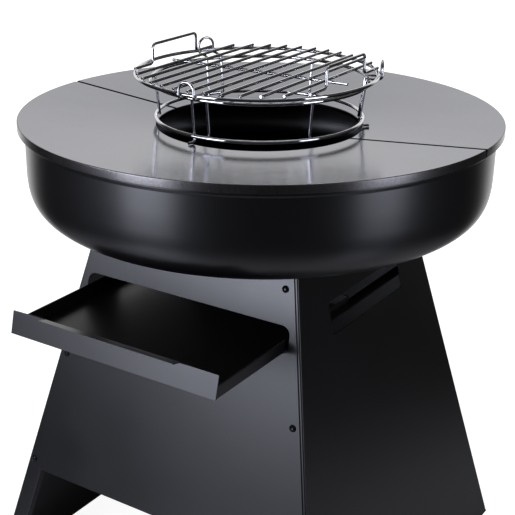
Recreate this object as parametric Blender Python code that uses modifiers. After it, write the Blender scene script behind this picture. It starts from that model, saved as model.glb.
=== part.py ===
"""Cooking brazier: a tapered sheet-steel base with an ash drawer, a deep round fire bowl, a
two-piece cooking plate round a fire hole, and a chromed wire stand that carries a round grate.

Metres, +Z up. The floor is z = 0, the drawer opens towards -Y, and the origin is the middle of
the floor space that the brazier takes with its drawer pulled out as shown."""

import math

import bmesh
import bpy
from mathutils import Matrix, Vector

# Overall
PLATE_TOP_HEIGHT = 0.842
GAP = 0.0003

# Cooking plate
PLATE_OVERHANG = 0.0118
PLATE_HOLE_RADIUS = 0.1716
PLATE_THICKNESS = 0.006
PLATE_RIM_HEIGHT = 0.013
PLATE_DISH = 0.0188
PLATE_EDGE_ROUND = 0.0015
PLATE_SEAM = 0.002
KEEPER_ANGLE = math.radians(24)
KEEPER_TURNS = (50, 130)
KEEPER_HEIGHT = 0.014
KEEPER_THICKNESS = 0.004
KEEPER_CLEARANCE = 0.002
KEEPER_SETBACK = 0.001
KEEPER_ROOT = 0.004

# Fire bowl
BOWL_RADIUS = 0.3882
BOWL_FLOOR_RADIUS = 0.1822
BOWL_WALL = 0.0025
BOWL_HEM_HEIGHT = 0.007
BOWL_HEM_STEP = 0.0012
BOWL_STRAIGHT_WALL = 0.045
BOWL_SHOULDER_HEIGHT = 0.117
BOWL_SHOULDER_POWER = 0.5227
ASH_HOLE_RADIUS = 0.060

# Ash grate over the hole in the bowl
ASH_GRATE_LAP = 0.015
ASH_GRATE_THICKNESS = 0.003
ASH_SLOTS = 7
ASH_SLOT_WIDTH = 0.008
ASH_SLOT_MARGIN = 0.003

# Tapered base
BASE_TOP_WIDTH = 0.3886
BASE_TOP_DEPTH = 0.3916
BASE_FLOOR_WIDTH = 0.672
BASE_FLOOR_DEPTH = 0.700
SHEET = 0.002
FRONT_PANEL_FLOOR_GAP = 0.2125
PANEL_EDGE_INSET = 0.005
FLANGE_WIDTH = 0.033
RETURN_DEPTH = 0.0125
SHELF_WIDTH = 0.034
SHELF_SETBACK = 0.0095
WINDOW_LENGTH = 0.242
WINDOW_DROP = 0.0764
WINDOW_HEIGHT = 0.054

# Panel screws, and the bolts and nuts under the bowl
SCREW_ROWS = 3
SCREW_TOP_DROP = 0.0314
SCREW_BOTTOM_RISE = 0.016
SCREW_TOP_INSET = 0.0206
SCREW_BOTTOM_INSET = 0.0127
SCREW_RADIUS = 0.003
SCREW_HEAD_RADIUS = 0.0058
SCREW_HEAD_HEIGHT = 0.0032
SCREW_LENGTH = 0.010
SOCKET_RADIUS = 0.0022
SOCKET_DEPTH = 0.0016
BOLT_INSET = 0.0233
BOLT_RING_STEP = 0.0268
BOLT_RADIUS = 0.003
BOLT_HEAD_RADIUS = 0.0075
BOLT_HEAD_HEIGHT = 0.003
BOLT_LENGTH = 0.012
HOLE_CLEARANCE = 0.0004
NUT_RADIUS = 0.0058
NUT_HEIGHT = 0.005

# Ash drawer, its opening and its runners
OPENING_EDGE_DISTANCE = 0.0137
OPENING_DROP = 0.0864
OPENING_HEIGHT = 0.044
OPENING_CORNER = 0.015
NOTCH_MARGIN = 0.0015
DRAWER_PULL = 0.188
DRAWER_SHEET = 0.0015
FRONT_SIDE_CLEARANCE = 0.0035
FRONT_TOP_CLEARANCE = 0.002
FRONT_BOTTOM_CLEARANCE = 0.0055
LIP_INSET = 0.0675
LIP_DEPTH = 0.0175
TRAY_SIDE_CLEARANCE = 0.0055
TRAY_BOTTOM_CLEARANCE = 0.004
TRAY_LENGTH = 0.395
TRAY_WALL_HEIGHT = 0.021
RUNNER_CLEARANCE = 0.0015
RUNNER_SHEET = 0.0015
RUNNER_LEDGE_WIDTH = 0.022
RUNNER_WEB_HEIGHT = 0.011
RUNNER_FLANGE_WIDTH = 0.009
RUNNER_TAB_WIDTH = 0.014
LEDGE_FRONT_SETBACK = 0.004
LEDGE_BACK_SETBACK = 0.006

# Wire stand
RING_WIRE = 0.003
STAND_WIRE = 0.00225
LOWER_RING_RADIUS = 0.172
UPPER_RING_RADIUS = 0.1795
LOWER_RING_HEIGHT = 0.0135
STAND_HEIGHT = 0.0613
LOOP_ANGLES = (30, 150, 270)
POST_ANGLES = (90, 210, 330)
LOOP_HALF_WIDTH = 0.014
LOOP_CLEARANCE = 0.0005
LOOP_HEIGHT = 0.0265
FOOT_REACH = 0.0104

# Wire grate
GRATE_RING_RADIUS = 0.199
ROD_WIRE = 0.0025
ROD_COUNT = 11
ROD_PITCH = 0.0274
ROD_OVERHANG = 0.0012
CROSS_ROD_LENGTH = 0.337
HANDLE_OFFSET = 0.164
HANDLE_HALF_LENGTH = 0.064
HANDLE_RISE = 0.032
HANDLE_BEND = 0.008
GRATE_SHIFT = Vector((-0.0045, -0.003, 0.0))
GRATE_TURN = math.radians(1.0)

# How finely round shapes are cut, and how far a cutter stands past what it cuts
PLATE_HALF_FACETS = 30
KEEPER_FACETS = 6
BOWL_FACETS = 60
SHOULDER_FACETS = 11
GRATE_FACETS = 36
HEAD_FACETS = 10
DOME_FACETS = 3
CORNER_FACETS = 4
LOWER_FACETS = 48
RING_FACETS = 56
HOOP_FACETS = 8
SHARP_ANGLE = math.radians(35)
MERGE = 1e-5
CUT_REACH = 0.02

# Heights and slopes worked out from the sizes above
BOWL_TOP = PLATE_TOP_HEIGHT - PLATE_RIM_HEIGHT - GAP
BOWL_SHOULDER_TOP = BOWL_TOP - BOWL_STRAIGHT_WALL
BOWL_BOTTOM = BOWL_SHOULDER_TOP - BOWL_SHOULDER_HEIGHT
BASE_HEIGHT = BOWL_BOTTOM - GAP
SIDE_SLOPE = (BASE_FLOOR_WIDTH - BASE_TOP_WIDTH) / 2 / BASE_HEIGHT
FRONT_SLOPE = (BASE_FLOOR_DEPTH - BASE_TOP_DEPTH) / 2 / BASE_HEIGHT
FRONT_LEAN = math.atan(FRONT_SLOPE)
FLANGE_SETBACK = (SHEET + GAP) / math.cos(FRONT_LEAN)


def half_width(z):
    """Half the base's width over its side panels at height z."""
    return BASE_FLOOR_WIDTH / 2 - SIDE_SLOPE * z


def half_depth(z):
    """Half the base's depth over its front and back panels at height z."""
    return BASE_FLOOR_DEPTH / 2 - FRONT_SLOPE * z


# The plate and what seats in the bowl
PLATE_RADIUS = BOWL_RADIUS + PLATE_OVERHANG
KEEPER_OUTER = BOWL_RADIUS - BOWL_WALL - KEEPER_CLEARANCE
KEEPER_INNER = KEEPER_OUTER - KEEPER_THICKNESS
RIM_INNER = KEEPER_INNER - KEEPER_SETBACK
RIM_BOTTOM = PLATE_TOP_HEIGHT - PLATE_RIM_HEIGHT
BOLT_X = half_width(BASE_HEIGHT) - BOLT_INSET
BOLT_Y = math.sqrt((BOWL_FLOOR_RADIUS + BOLT_RING_STEP) ** 2 - BOLT_X ** 2)

# The opening and the drawer that passes through it
OPENING_TOP = BASE_HEIGHT - OPENING_DROP
OPENING_BOTTOM = OPENING_TOP - OPENING_HEIGHT
OPENING_HALF_WIDTH = half_width(OPENING_TOP) - OPENING_EDGE_DISTANCE
DRAWER_FRONT_TOP = OPENING_TOP - FRONT_TOP_CLEARANCE
DRAWER_FRONT_BOTTOM = OPENING_BOTTOM + FRONT_BOTTOM_CLEARANCE
DRAWER_FRONT_HALF_WIDTH = OPENING_HALF_WIDTH - FRONT_SIDE_CLEARANCE
LIP_HALF_WIDTH = DRAWER_FRONT_HALF_WIDTH - LIP_INSET
TRAY_HALF_WIDTH = OPENING_HALF_WIDTH - TRAY_SIDE_CLEARANCE
TRAY_BOTTOM = OPENING_BOTTOM + TRAY_BOTTOM_CLEARANCE
DRAWER_REACH = half_depth(DRAWER_FRONT_TOP) + DRAWER_PULL + LIP_DEPTH * math.cos(FRONT_LEAN)
AXIS_Y = (DRAWER_REACH - PLATE_RADIUS) / 2

# The stand on the plate, and the grate on the stand
STAND_BEND = RING_WIRE + STAND_WIRE + GAP
LOWER_RING_Z = PLATE_TOP_HEIGHT - PLATE_DISH + LOWER_RING_HEIGHT
UPPER_RING_Z = LOWER_RING_Z + STAND_HEIGHT
ARM_Z = UPPER_RING_Z + STAND_BEND
FOOT_RADIUS = PLATE_HOLE_RADIUS + FOOT_REACH
GRATE_RING_Z = ARM_Z + STAND_BEND
ROD_Z = GRATE_RING_Z + RING_WIRE + ROD_WIRE + GAP


def clear_scene():
    for old in list(bpy.data.objects):
        bpy.data.objects.remove(old, do_unlink=True)


def new_collection(name):
    made = bpy.data.collections.new(name)
    bpy.context.scene.collection.children.link(made)
    return made


def new_material(name, colour, metallic, roughness):
    made = bpy.data.materials.new(name)
    made.use_nodes = True
    shader = made.node_tree.nodes["Principled BSDF"]
    shader.inputs["Base Color"].default_value = (*colour, 1.0)
    shader.inputs["Metallic"].default_value = metallic
    shader.inputs["Roughness"].default_value = roughness
    return made


clear_scene()
PARTS = new_collection("cooking_brazier")
CUTTERS = new_collection("cutters")
PLATE_STEEL = new_material("seasoned_plate_steel", (0.060, 0.060, 0.064), 0.8, 0.38)
BLACK_ENAMEL = new_material("black_enamel", (0.012, 0.012, 0.013), 0.0, 0.30)
BLACK_POWDER = new_material("black_powder_coat", (0.020, 0.020, 0.022), 0.0, 0.45)
CHROME = new_material("chromed_wire", (0.75, 0.75, 0.76), 1.0, 0.12)
BLACK_SCREW = new_material("blackened_screw", (0.015, 0.015, 0.016), 0.9, 0.35)


def body_empty(name):
    """An empty on the brazier's upright axis, which the pieces of one body hang from."""
    made = bpy.data.objects.new(name, None)
    made.location = (0, AXIS_Y, 0)
    PARTS.objects.link(made)
    return made


BASE_BODY = body_empty("base_body")
DRAWER_BODY = body_empty("drawer_body")
PLATE_BODY = body_empty("plate_body")
STAND_BODY = body_empty("stand_body")
GRATE_BODY = body_empty("grate_body")
bpy.context.view_layer.update()


def add_part(name, mesh, body, material):
    made = bpy.data.objects.new(name, mesh)
    PARTS.objects.link(made)
    made.parent = body
    mesh.materials.clear()
    mesh.materials.append(material)
    return made


def add_cutter(name, mesh, body):
    made = bpy.data.objects.new(name, mesh)
    CUTTERS.objects.link(made)
    made.parent = body
    made.hide_render = True
    made.display_type = "WIRE"
    return made


def shade_round(piece):
    piece.data.shade_smooth()
    piece.data.set_sharp_from_angle(angle=SHARP_ANGLE)


def evaluated_mesh(piece):
    bpy.context.view_layer.update()
    return bpy.data.meshes.new_from_object(piece.evaluated_get(bpy.context.evaluated_depsgraph_get()))


def apply_modifiers(piece):
    """Leaves the piece's evaluated mesh in its place, with no modifiers."""
    shape = evaluated_mesh(piece)
    old = piece.data
    piece.modifiers.clear()
    piece.data = shape
    bpy.data.meshes.remove(old)
    return piece


def cut(piece, cutter, operation="DIFFERENCE"):
    change = piece.modifiers.new(operation.lower(), "BOOLEAN")
    change.operation = operation
    change.object = cutter
    apply_modifiers(piece)
    bpy.data.objects.remove(cutter, do_unlink=True)
    return piece


def turned_mesh(name, section, steps, turn=math.tau, start=0.0):
    """A section of (radius, height) pairs, run down its outer side, turned about Z.

    A section that starts and ends on the axis is closed by it; any other is a closed loop. A turn
    that isn't a whole one gets flat ends."""
    count = len(section)
    edges = [(k, k + 1) for k in range(count - 1)]
    if section[0][0] > 0:
        edges.append((count - 1, 0))
    places = [(r * math.cos(start), r * math.sin(start), z) for r, z in section]
    outline = bpy.data.meshes.new(name)
    outline.from_pydata(places, edges, [])
    guide = bpy.data.objects.new(name, outline)
    CUTTERS.objects.link(guide)
    spin = guide.modifiers.new("spin", "SCREW")
    spin.angle = turn
    spin.steps = steps
    spin.render_steps = steps
    spin.use_merge_vertices = True
    spin.merge_threshold = MERGE
    apply_modifiers(guide)
    shape = guide.data
    bpy.data.objects.remove(guide, do_unlink=True)
    model = bmesh.new()
    model.from_mesh(shape)
    bmesh.ops.holes_fill(model, edges=[edge for edge in model.edges if edge.is_boundary], sides=0)
    bmesh.ops.recalc_face_normals(model, faces=model.faces)
    model.to_mesh(shape)
    model.free()
    return shape


def turned_part(name, section, steps, body, material):
    made = add_part(name, turned_mesh(name, section, steps), body, material)
    shade_round(made)
    return made


def box_mesh(name, low, high):
    shape = bpy.data.meshes.new(name)
    model = bmesh.new()
    bmesh.ops.create_cube(model, size=1.0)
    size = Vector(high) - Vector(low)
    middle = (Vector(high) + Vector(low)) / 2
    bmesh.ops.scale(model, vec=size, verts=model.verts)
    bmesh.ops.translate(model, vec=middle, verts=model.verts)
    model.to_mesh(shape)
    model.free()
    return shape


def pin_mesh(name, radius, length, sides, turns):
    """Cylinders of one size, one for each matrix in turns, along each matrix's Z."""
    shape = bpy.data.meshes.new(name)
    model = bmesh.new()
    for turn in turns:
        bmesh.ops.create_cone(
            model, cap_ends=True, segments=sides, radius1=radius, radius2=radius, depth=length, matrix=turn
        )
    model.to_mesh(shape)
    model.free()
    return shape


def drill(piece, name, radius, turns):
    """Bores a hole of the same radius along the Z of each matrix."""
    holes = pin_mesh(name, radius, CUT_REACH, HEAD_FACETS, turns)
    return cut(piece, add_cutter(name, holes, BASE_BODY))


def poly_curve(name, dimensions, loops, cyclic):
    """A curve of straight splines through each loop of (x, y, z) places."""
    curve = bpy.data.curves.new(name, "CURVE")
    curve.dimensions = dimensions
    for loop in loops:
        spline = curve.splines.new("POLY")
        spline.points.add(len(loop) - 1)
        for spot, place in zip(spline.points, loop):
            spot.co = Vector(place).to_4d()
        spline.use_cyclic_u = cyclic
    return curve


def wire_part(name, points, radius, body, cyclic=False):
    """A round wire through the points, as one closed tube with flat ends."""
    curve = poly_curve(name, "3D", [points], cyclic)
    curve.bevel_depth = radius
    curve.bevel_resolution = 2
    curve.use_fill_caps = True
    curve.materials.append(CHROME)
    made = bpy.data.objects.new(name, curve)
    PARTS.objects.link(made)
    made.parent = body
    return made


def flat_panel(name, outline, holes, thickness, body, material):
    """A flat sheet in the XY plane, cut to an outline with holes, thickness centred on Z."""
    loops = [[(x, y, 0) for x, y in loop] for loop in (outline, *holes)]
    curve = poly_curve(name, "2D", loops, True)
    curve.fill_mode = "BOTH"
    curve.extrude = thickness / 2
    guide = bpy.data.objects.new(name, curve)
    CUTTERS.objects.link(guide)
    shape = evaluated_mesh(guide)
    bpy.data.objects.remove(guide, do_unlink=True)
    model = bmesh.new()
    model.from_mesh(shape)
    bmesh.ops.remove_doubles(model, verts=model.verts, dist=MERGE)
    bmesh.ops.recalc_face_normals(model, faces=model.faces)
    model.to_mesh(shape)
    model.free()
    return add_part(name, shape, body, material)


def flat_strip(low_row, high_row):
    """The flat middle of a folded sheet, a strip of faces between two rows of places."""
    model = bmesh.new()
    bmesh.ops.create_grid(model, x_segments=len(low_row) - 1, y_segments=1, size=1.0)
    for vert, place in zip(model.verts, (*low_row, *high_row)):
        vert.co = place
    return model


def fold_out(model, line, offsets, closed=False):
    """Folds a flange out along a line of the sheet's corners, each moved by its own offset.

    Gives the places of the flange's new corners, from which another flange can be folded."""
    corners = [min(model.verts, key=lambda vert: (vert.co - Vector(place)).length) for place in line]
    pairs = list(zip(corners, corners[1:]))
    if closed:
        pairs.append((corners[-1], corners[0]))
    edges = [next(edge for edge in here.link_edges if edge.other_vert(here) is there) for here, there in pairs]
    grown = bmesh.ops.extrude_edge_only(model, edges=edges)["geom"]
    grown = [vert for vert in grown if isinstance(vert, bmesh.types.BMVert)]
    moved = []
    for corner, offset in zip(corners, offsets):
        twin = min(grown, key=lambda vert: (vert.co - corner.co).length)
        moved.append((twin, corner.co + Vector(offset)))
    for twin, place in moved:
        twin.co = place
    return [place for _, place in moved]


def sheet_part(name, model, outside, thickness, body, material):
    """A folded sheet with its thickness behind the side that faces outside."""
    bmesh.ops.recalc_face_normals(model, faces=model.faces)
    model.faces.ensure_lookup_table()
    model.faces[0].normal_update()
    if model.faces[0].normal.dot(Vector(outside)) < 0:
        bmesh.ops.reverse_faces(model, faces=model.faces)
    shape = bpy.data.meshes.new(name)
    model.to_mesh(shape)
    model.free()
    made = add_part(name, shape, body, material)
    wall = made.modifiers.new("wall", "SOLIDIFY")
    wall.thickness = thickness
    wall.offset = -1
    wall.solidify_mode = "NON_MANIFOLD"
    wall.nonmanifold_thickness_mode = "CONSTRAINTS"
    return apply_modifiers(made)


def arc(centre, radius, start, end, steps):
    """Points on an arc in a plane, angles in degrees."""
    turns = [math.radians(start + (end - start) * k / steps) for k in range(steps + 1)]
    return [(centre[0] + radius * math.cos(t), centre[1] + radius * math.sin(t)) for t in turns]


def bend_path(points, radius):
    """The points with each inner corner rounded by a tangent arc of the given radius."""
    places = [Vector(p) for p in points]
    made = [places[0]]
    for before, corner, after in zip(places, places[1:], places[2:]):
        into = (corner - before).normalized()
        out = (after - corner).normalized()
        half_turn = into.angle(out) / 2
        start = corner - into * radius * math.tan(half_turn)
        middle = corner + (out - into).normalized() * (radius / math.cos(half_turn))
        spoke = start - middle
        axis = into.cross(out).normalized()
        for step in range(CORNER_FACETS + 1):
            turned = Matrix.Rotation(2 * half_turn * step / CORNER_FACETS, 3, axis)
            made.append(middle + turned @ spoke)
    made.append(places[-1])
    return made


# The cooking plate


def plate_top_at(radius):
    """Height of the dished cooking surface above the floor at a distance from the axis."""
    share = (PLATE_RADIUS - radius) / (PLATE_RADIUS - PLATE_HOLE_RADIUS)
    return PLATE_TOP_HEIGHT - PLATE_DISH * share


def plate_section():
    """Section of the plate from its hole to its rim and back underneath."""
    edge = PLATE_EDGE_ROUND
    return [
        (PLATE_HOLE_RADIUS, plate_top_at(PLATE_HOLE_RADIUS) - edge),
        (PLATE_HOLE_RADIUS + edge, plate_top_at(PLATE_HOLE_RADIUS + edge)),
        (PLATE_RADIUS - edge, PLATE_TOP_HEIGHT),
        (PLATE_RADIUS, PLATE_TOP_HEIGHT - edge),
        (PLATE_RADIUS, RIM_BOTTOM),
        (RIM_INNER, RIM_BOTTOM),
        (RIM_INNER, plate_top_at(RIM_INNER) - PLATE_THICKNESS),
        (PLATE_HOLE_RADIUS, plate_top_at(PLATE_HOLE_RADIUS) - PLATE_THICKNESS),
    ]


def keeper_section():
    """Section of a keeper rib, rooted in the plate's rim and hanging inside the bowl's wall."""
    top, bottom = RIM_BOTTOM + KEEPER_ROOT, RIM_BOTTOM - KEEPER_HEIGHT
    return [(KEEPER_INNER, top), (KEEPER_OUTER, top), (KEEPER_OUTER, bottom), (KEEPER_INNER, bottom)]


def make_plate_half(name, side):
    """Front (side -1) or back (side 1) half of the cooking plate, with two keeper ribs under it."""
    start = 0.0 if side > 0 else math.pi
    shape = turned_mesh(name, plate_section(), PLATE_HALF_FACETS, math.pi, start)
    half = add_part(name, shape, PLATE_BODY, PLATE_STEEL)
    reach = PLATE_RADIUS + CUT_REACH
    low = (-reach, -PLATE_SEAM / 2, RIM_BOTTOM - CUT_REACH)
    high = (reach, PLATE_SEAM / 2, PLATE_TOP_HEIGHT + CUT_REACH)
    cut(half, add_cutter("seam", box_mesh("seam", low, high), PLATE_BODY))
    for turn in KEEPER_TURNS:
        first = math.radians(turn * side) - KEEPER_ANGLE / 2
        rib = turned_mesh("keeper", keeper_section(), KEEPER_FACETS, KEEPER_ANGLE, first)
        cut(half, add_cutter("keeper", rib, PLATE_BODY), "UNION")
    shade_round(half)


# The fire bowl and the ash grate in it


def bowl_outside():
    """Outer side of the bowl from its hem to the ash hole, the shoulder a quarter superellipse."""
    points = [
        (BOWL_RADIUS + BOWL_HEM_STEP, BOWL_TOP),
        (BOWL_RADIUS + BOWL_HEM_STEP, BOWL_TOP - BOWL_HEM_HEIGHT),
        (BOWL_RADIUS, BOWL_TOP - BOWL_HEM_HEIGHT - BOWL_HEM_STEP),
        (BOWL_RADIUS, BOWL_SHOULDER_TOP),
    ]
    for step in range(1, SHOULDER_FACETS):
        turn = math.pi / 2 * step / SHOULDER_FACETS
        across = math.cos(turn) ** BOWL_SHOULDER_POWER
        down = math.sin(turn) ** BOWL_SHOULDER_POWER
        radius = BOWL_FLOOR_RADIUS + (BOWL_RADIUS - BOWL_FLOOR_RADIUS) * across
        points.append((radius, BOWL_SHOULDER_TOP - BOWL_SHOULDER_HEIGHT * down))
    points.append((BOWL_FLOOR_RADIUS, BOWL_BOTTOM))
    points.append((ASH_HOLE_RADIUS, BOWL_BOTTOM))
    return points


def bowl_inside(outside):
    """The bowl's outer side moved inwards by its wall, with a plain bore behind the hem."""
    moved = []
    for k, (radius, height) in enumerate(outside):
        before = Vector(outside[max(k - 1, 0)])
        after = Vector(outside[min(k + 1, len(outside) - 1)])
        run = (after - before).normalized()
        moved.append((radius + run.y * BOWL_WALL, height - run.x * BOWL_WALL))
    for k in range(3):
        moved[k] = (BOWL_RADIUS - BOWL_WALL, outside[k][1])
    for k in (-2, -1):
        moved[k] = (outside[k][0], BOWL_BOTTOM + BOWL_WALL)
    return moved


def bolt_turns(height):
    """Where the four bowl bolts stand, as matrices at a height."""
    return [Matrix.Translation((x, y, height)) for x in (-BOLT_X, BOLT_X) for y in (-BOLT_Y, BOLT_Y)]


def make_bowl():
    outside = bowl_outside()
    bowl = turned_part("fire_bowl", outside + bowl_inside(outside)[::-1], BOWL_FACETS, BASE_BODY, BLACK_ENAMEL)
    drill(bowl, "bolt_holes", BOLT_RADIUS + HOLE_CLEARANCE, bolt_turns(BOWL_BOTTOM))
    shade_round(bowl)


def make_ash_grate():
    """A loose round plate with long slots, which lies over the bowl's ash hole."""
    radius = ASH_HOLE_RADIUS + ASH_GRATE_LAP
    low = BOWL_BOTTOM + BOWL_WALL + GAP
    high = low + ASH_GRATE_THICKNESS
    section = [(0, high), (radius, high), (radius, low), (0, low)]
    grate = turned_part("ash_grate", section, GRATE_FACETS, BASE_BODY, BLACK_SCREW)
    pitch = 2 * ASH_HOLE_RADIUS / (ASH_SLOTS + 0.5)
    for k in range(ASH_SLOTS):
        x = (k - (ASH_SLOTS - 1) / 2) * pitch
        reach = math.sqrt((ASH_HOLE_RADIUS - ASH_SLOT_MARGIN) ** 2 - x * x)
        start = (x - ASH_SLOT_WIDTH / 2, -reach, low - CUT_REACH)
        end = (x + ASH_SLOT_WIDTH / 2, reach, high + CUT_REACH)
        cut(grate, add_cutter("slot", box_mesh("slot", start, end), BASE_BODY))


# The tapered base


def screw_rows():
    """Height of each row of panel screws and their distance from the corner, top row first."""
    top = BASE_HEIGHT - SCREW_TOP_DROP
    bottom = FRONT_PANEL_FLOOR_GAP + SCREW_BOTTOM_RISE
    rows = []
    for row in range(SCREW_ROWS):
        share = row / (SCREW_ROWS - 1)
        inset = SCREW_TOP_INSET + (SCREW_BOTTOM_INSET - SCREW_TOP_INSET) * share
        rows.append((top + (bottom - top) * share, inset))
    return rows


def make_face_panel(name, side, opening):
    """Front (side -1) or back (side 1) panel: a flat trapezium with screw holes up both edges."""
    drop = 1 / math.cos(FRONT_LEAN)
    top, bottom = BASE_HEIGHT - GAP, FRONT_PANEL_FLOOR_GAP
    outline = []
    for edge, z in ((-1, bottom), (1, bottom), (1, top), (-1, top)):
        outline.append((edge * (half_width(z) - PANEL_EDGE_INSET), z * drop))
    holes = []
    last = 360 - 360 / HEAD_FACETS
    for z, inset in screw_rows():
        for edge in (-1, 1):
            centre = (edge * (half_width(z) - inset), z * drop)
            holes.append(arc(centre, SCREW_RADIUS + HOLE_CLEARANCE, 0, last, HEAD_FACETS - 1))
    if opening:
        holes.append(rounded_opening(drop))
    panel = flat_panel(name, outline, holes, SHEET, BASE_BODY, BLACK_POWDER)
    panel.data.transform(face_matrix(side, SHEET / 2))


def rounded_opening(drop):
    """The drawer's opening as a loop of points, its corners rounded."""
    bend = OPENING_CORNER
    low, high = OPENING_BOTTOM * drop + bend, OPENING_TOP * drop - bend
    side = OPENING_HALF_WIDTH - bend
    loop = []
    for x, y, start in ((side, high, 0), (-side, high, 90), (-side, low, 180), (side, low, 270)):
        loop += arc((x, y), bend, start, start + 90, CORNER_FACETS)
    return loop


def face_matrix(side, depth):
    """Takes a sheet drawn as (x, distance up the slope) to the front or back face, depth inside it."""
    lean = Matrix.Rotation(math.pi / 2 - FRONT_LEAN, 4, "X")
    inwards = depth / math.cos(FRONT_LEAN)
    front = Matrix.Translation((0, -BASE_FLOOR_DEPTH / 2 + inwards, 0)) @ lean
    if side < 0:
        return front
    return Matrix.Rotation(math.pi, 4, "Z") @ front


def make_side_panel(name, side):
    """Left (side -1) or right (side 1) panel, folded with flanges that the face panels screw to."""
    shelf_end = RETURN_DEPTH + SHELF_SETBACK

    def row(z):
        x = side * half_width(z)
        reach = half_depth(z) - FLANGE_SETBACK
        return [Vector((x, y, z)) for y in (-reach, -reach + shelf_end, reach - shelf_end, reach)]

    low, high = row(-CUT_REACH), row(BASE_HEIGHT - GAP)
    model = flat_strip(low, high)
    fold_out(model, high[1:3], [(-side * SHELF_WIDTH, 0, 0)] * 2)
    for column, inwards in ((0, 1), (3, -1)):
        rim = fold_out(model, [low[column], high[column]], [(-side * FLANGE_WIDTH, 0, 0)] * 2)
        fold_out(model, rim, [(0, inwards * RETURN_DEPTH, 0)] * 2)
    panel = sheet_part(name, model, (side, 0, 0), SHEET, BASE_BODY, BLACK_POWDER)
    cut_side_panel(panel, side)


def cut_side_panel(panel, side):
    """The window, the notch for the drawer, the screw and bolt holes, and the flat bottom edge."""
    half = WINDOW_LENGTH / 2
    top = BASE_HEIGHT - WINDOW_DROP
    bottom = top - WINDOW_HEIGHT
    inner, outer = sorted((side * (half_width(top) - CUT_REACH), side * (half_width(bottom) + CUT_REACH)))
    window = box_mesh("window", (inner, -half, bottom), (outer, half, top))
    cut(panel, add_cutter("window", window, BASE_BODY))
    side_reach = OPENING_HALF_WIDTH + NOTCH_MARGIN
    front = -half_depth(OPENING_BOTTOM)
    low = (-side_reach, front - CUT_REACH, OPENING_BOTTOM - NOTCH_MARGIN)
    high = (side_reach, front + RETURN_DEPTH + CUT_REACH, OPENING_TOP + NOTCH_MARGIN)
    cut(panel, add_cutter("notch", box_mesh("notch", low, high), BASE_BODY))
    turns = []
    for z, inset in screw_rows():
        for end in (-1, 1):
            place = Matrix.Translation((side * (half_width(z) - inset), end * half_depth(z), z))
            turns.append(place @ Matrix.Rotation(math.pi / 2 + end * FRONT_LEAN, 4, "X"))
    drill(panel, "screw_holes", SCREW_RADIUS + HOLE_CLEARANCE, turns)
    turns = [turn for turn in bolt_turns(BASE_HEIGHT) if turn.translation.x * side > 0]
    drill(panel, "bolt_holes", BOLT_RADIUS + HOLE_CLEARANCE, turns)
    reach = BASE_FLOOR_DEPTH
    floor = box_mesh("floor", (-reach, -reach, -reach), (reach, reach, 0))
    cut(panel, add_cutter("floor", floor, BASE_BODY))


def dome(radius, height):
    """Half section of a low domed head from its top centre to its edge."""
    ball = (radius * radius + height * height) / (2 * height)
    sweep = math.asin(radius / ball)
    turns = [sweep * k / DOME_FACETS for k in range(DOME_FACETS + 1)]
    return [(ball * math.sin(t), height - ball * (1 - math.cos(t))) for t in turns]


def shank(radius, length):
    return [(radius, 0), (radius, -length), (0, -length)]


def make_panel_screws():
    """Button-head screws with a round socket, up each edge of the front and back panels."""
    floor = SCREW_HEAD_HEIGHT - SOCKET_DEPTH
    head = [(r, z) for r, z in dome(SCREW_HEAD_RADIUS, SCREW_HEAD_HEIGHT) if r > SOCKET_RADIUS]
    rim = [(0, floor), (SOCKET_RADIUS, floor), (SOCKET_RADIUS, head[0][1])]
    section = rim + head + shank(SCREW_RADIUS, SCREW_LENGTH)
    for side, face in ((-1, "front"), (1, "back")):
        number = 0
        for z, inset in screw_rows():
            for edge in (-1, 1):
                number += 1
                screw = turned_part(f"{face}_screw_{number}", section, HEAD_FACETS, BASE_BODY, BLACK_SCREW)
                place = (edge * (half_width(z) - inset), z / math.cos(FRONT_LEAN), 0)
                screw.data.transform(face_matrix(side, -GAP) @ Matrix.Translation(place))


def make_bowl_bolts():
    """Bolts through the bowl's floor and the side panels' shelves, each with a hexagon nut."""
    section = dome(BOLT_HEAD_RADIUS, BOLT_HEAD_HEIGHT) + shank(BOLT_RADIUS, BOLT_LENGTH)
    seat = BOWL_BOTTOM + BOWL_WALL + GAP
    nut_middle = BASE_HEIGHT - GAP - SHEET - GAP - NUT_HEIGHT / 2
    bore = (BOLT_RADIUS + GAP) / math.cos(math.pi / HEAD_FACETS)
    for number, turn in enumerate(bolt_turns(seat), 1):
        bolt = turned_part(f"bowl_bolt_{number}", section, HEAD_FACETS, BASE_BODY, BLACK_SCREW)
        bolt.data.transform(turn)
    for number, turn in enumerate(bolt_turns(nut_middle), 1):
        shape = pin_mesh("nut", NUT_RADIUS, NUT_HEIGHT, 6, [turn])
        nut = add_part(f"bowl_nut_{number}", shape, BASE_BODY, BLACK_SCREW)
        drill(nut, "nut_bore", bore, [turn])


# The ash drawer and its runners


def drawer_face_y(z):
    """The plane of the drawer's front, as far out as the drawer is pulled."""
    return -(half_depth(z) + DRAWER_PULL)


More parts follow.
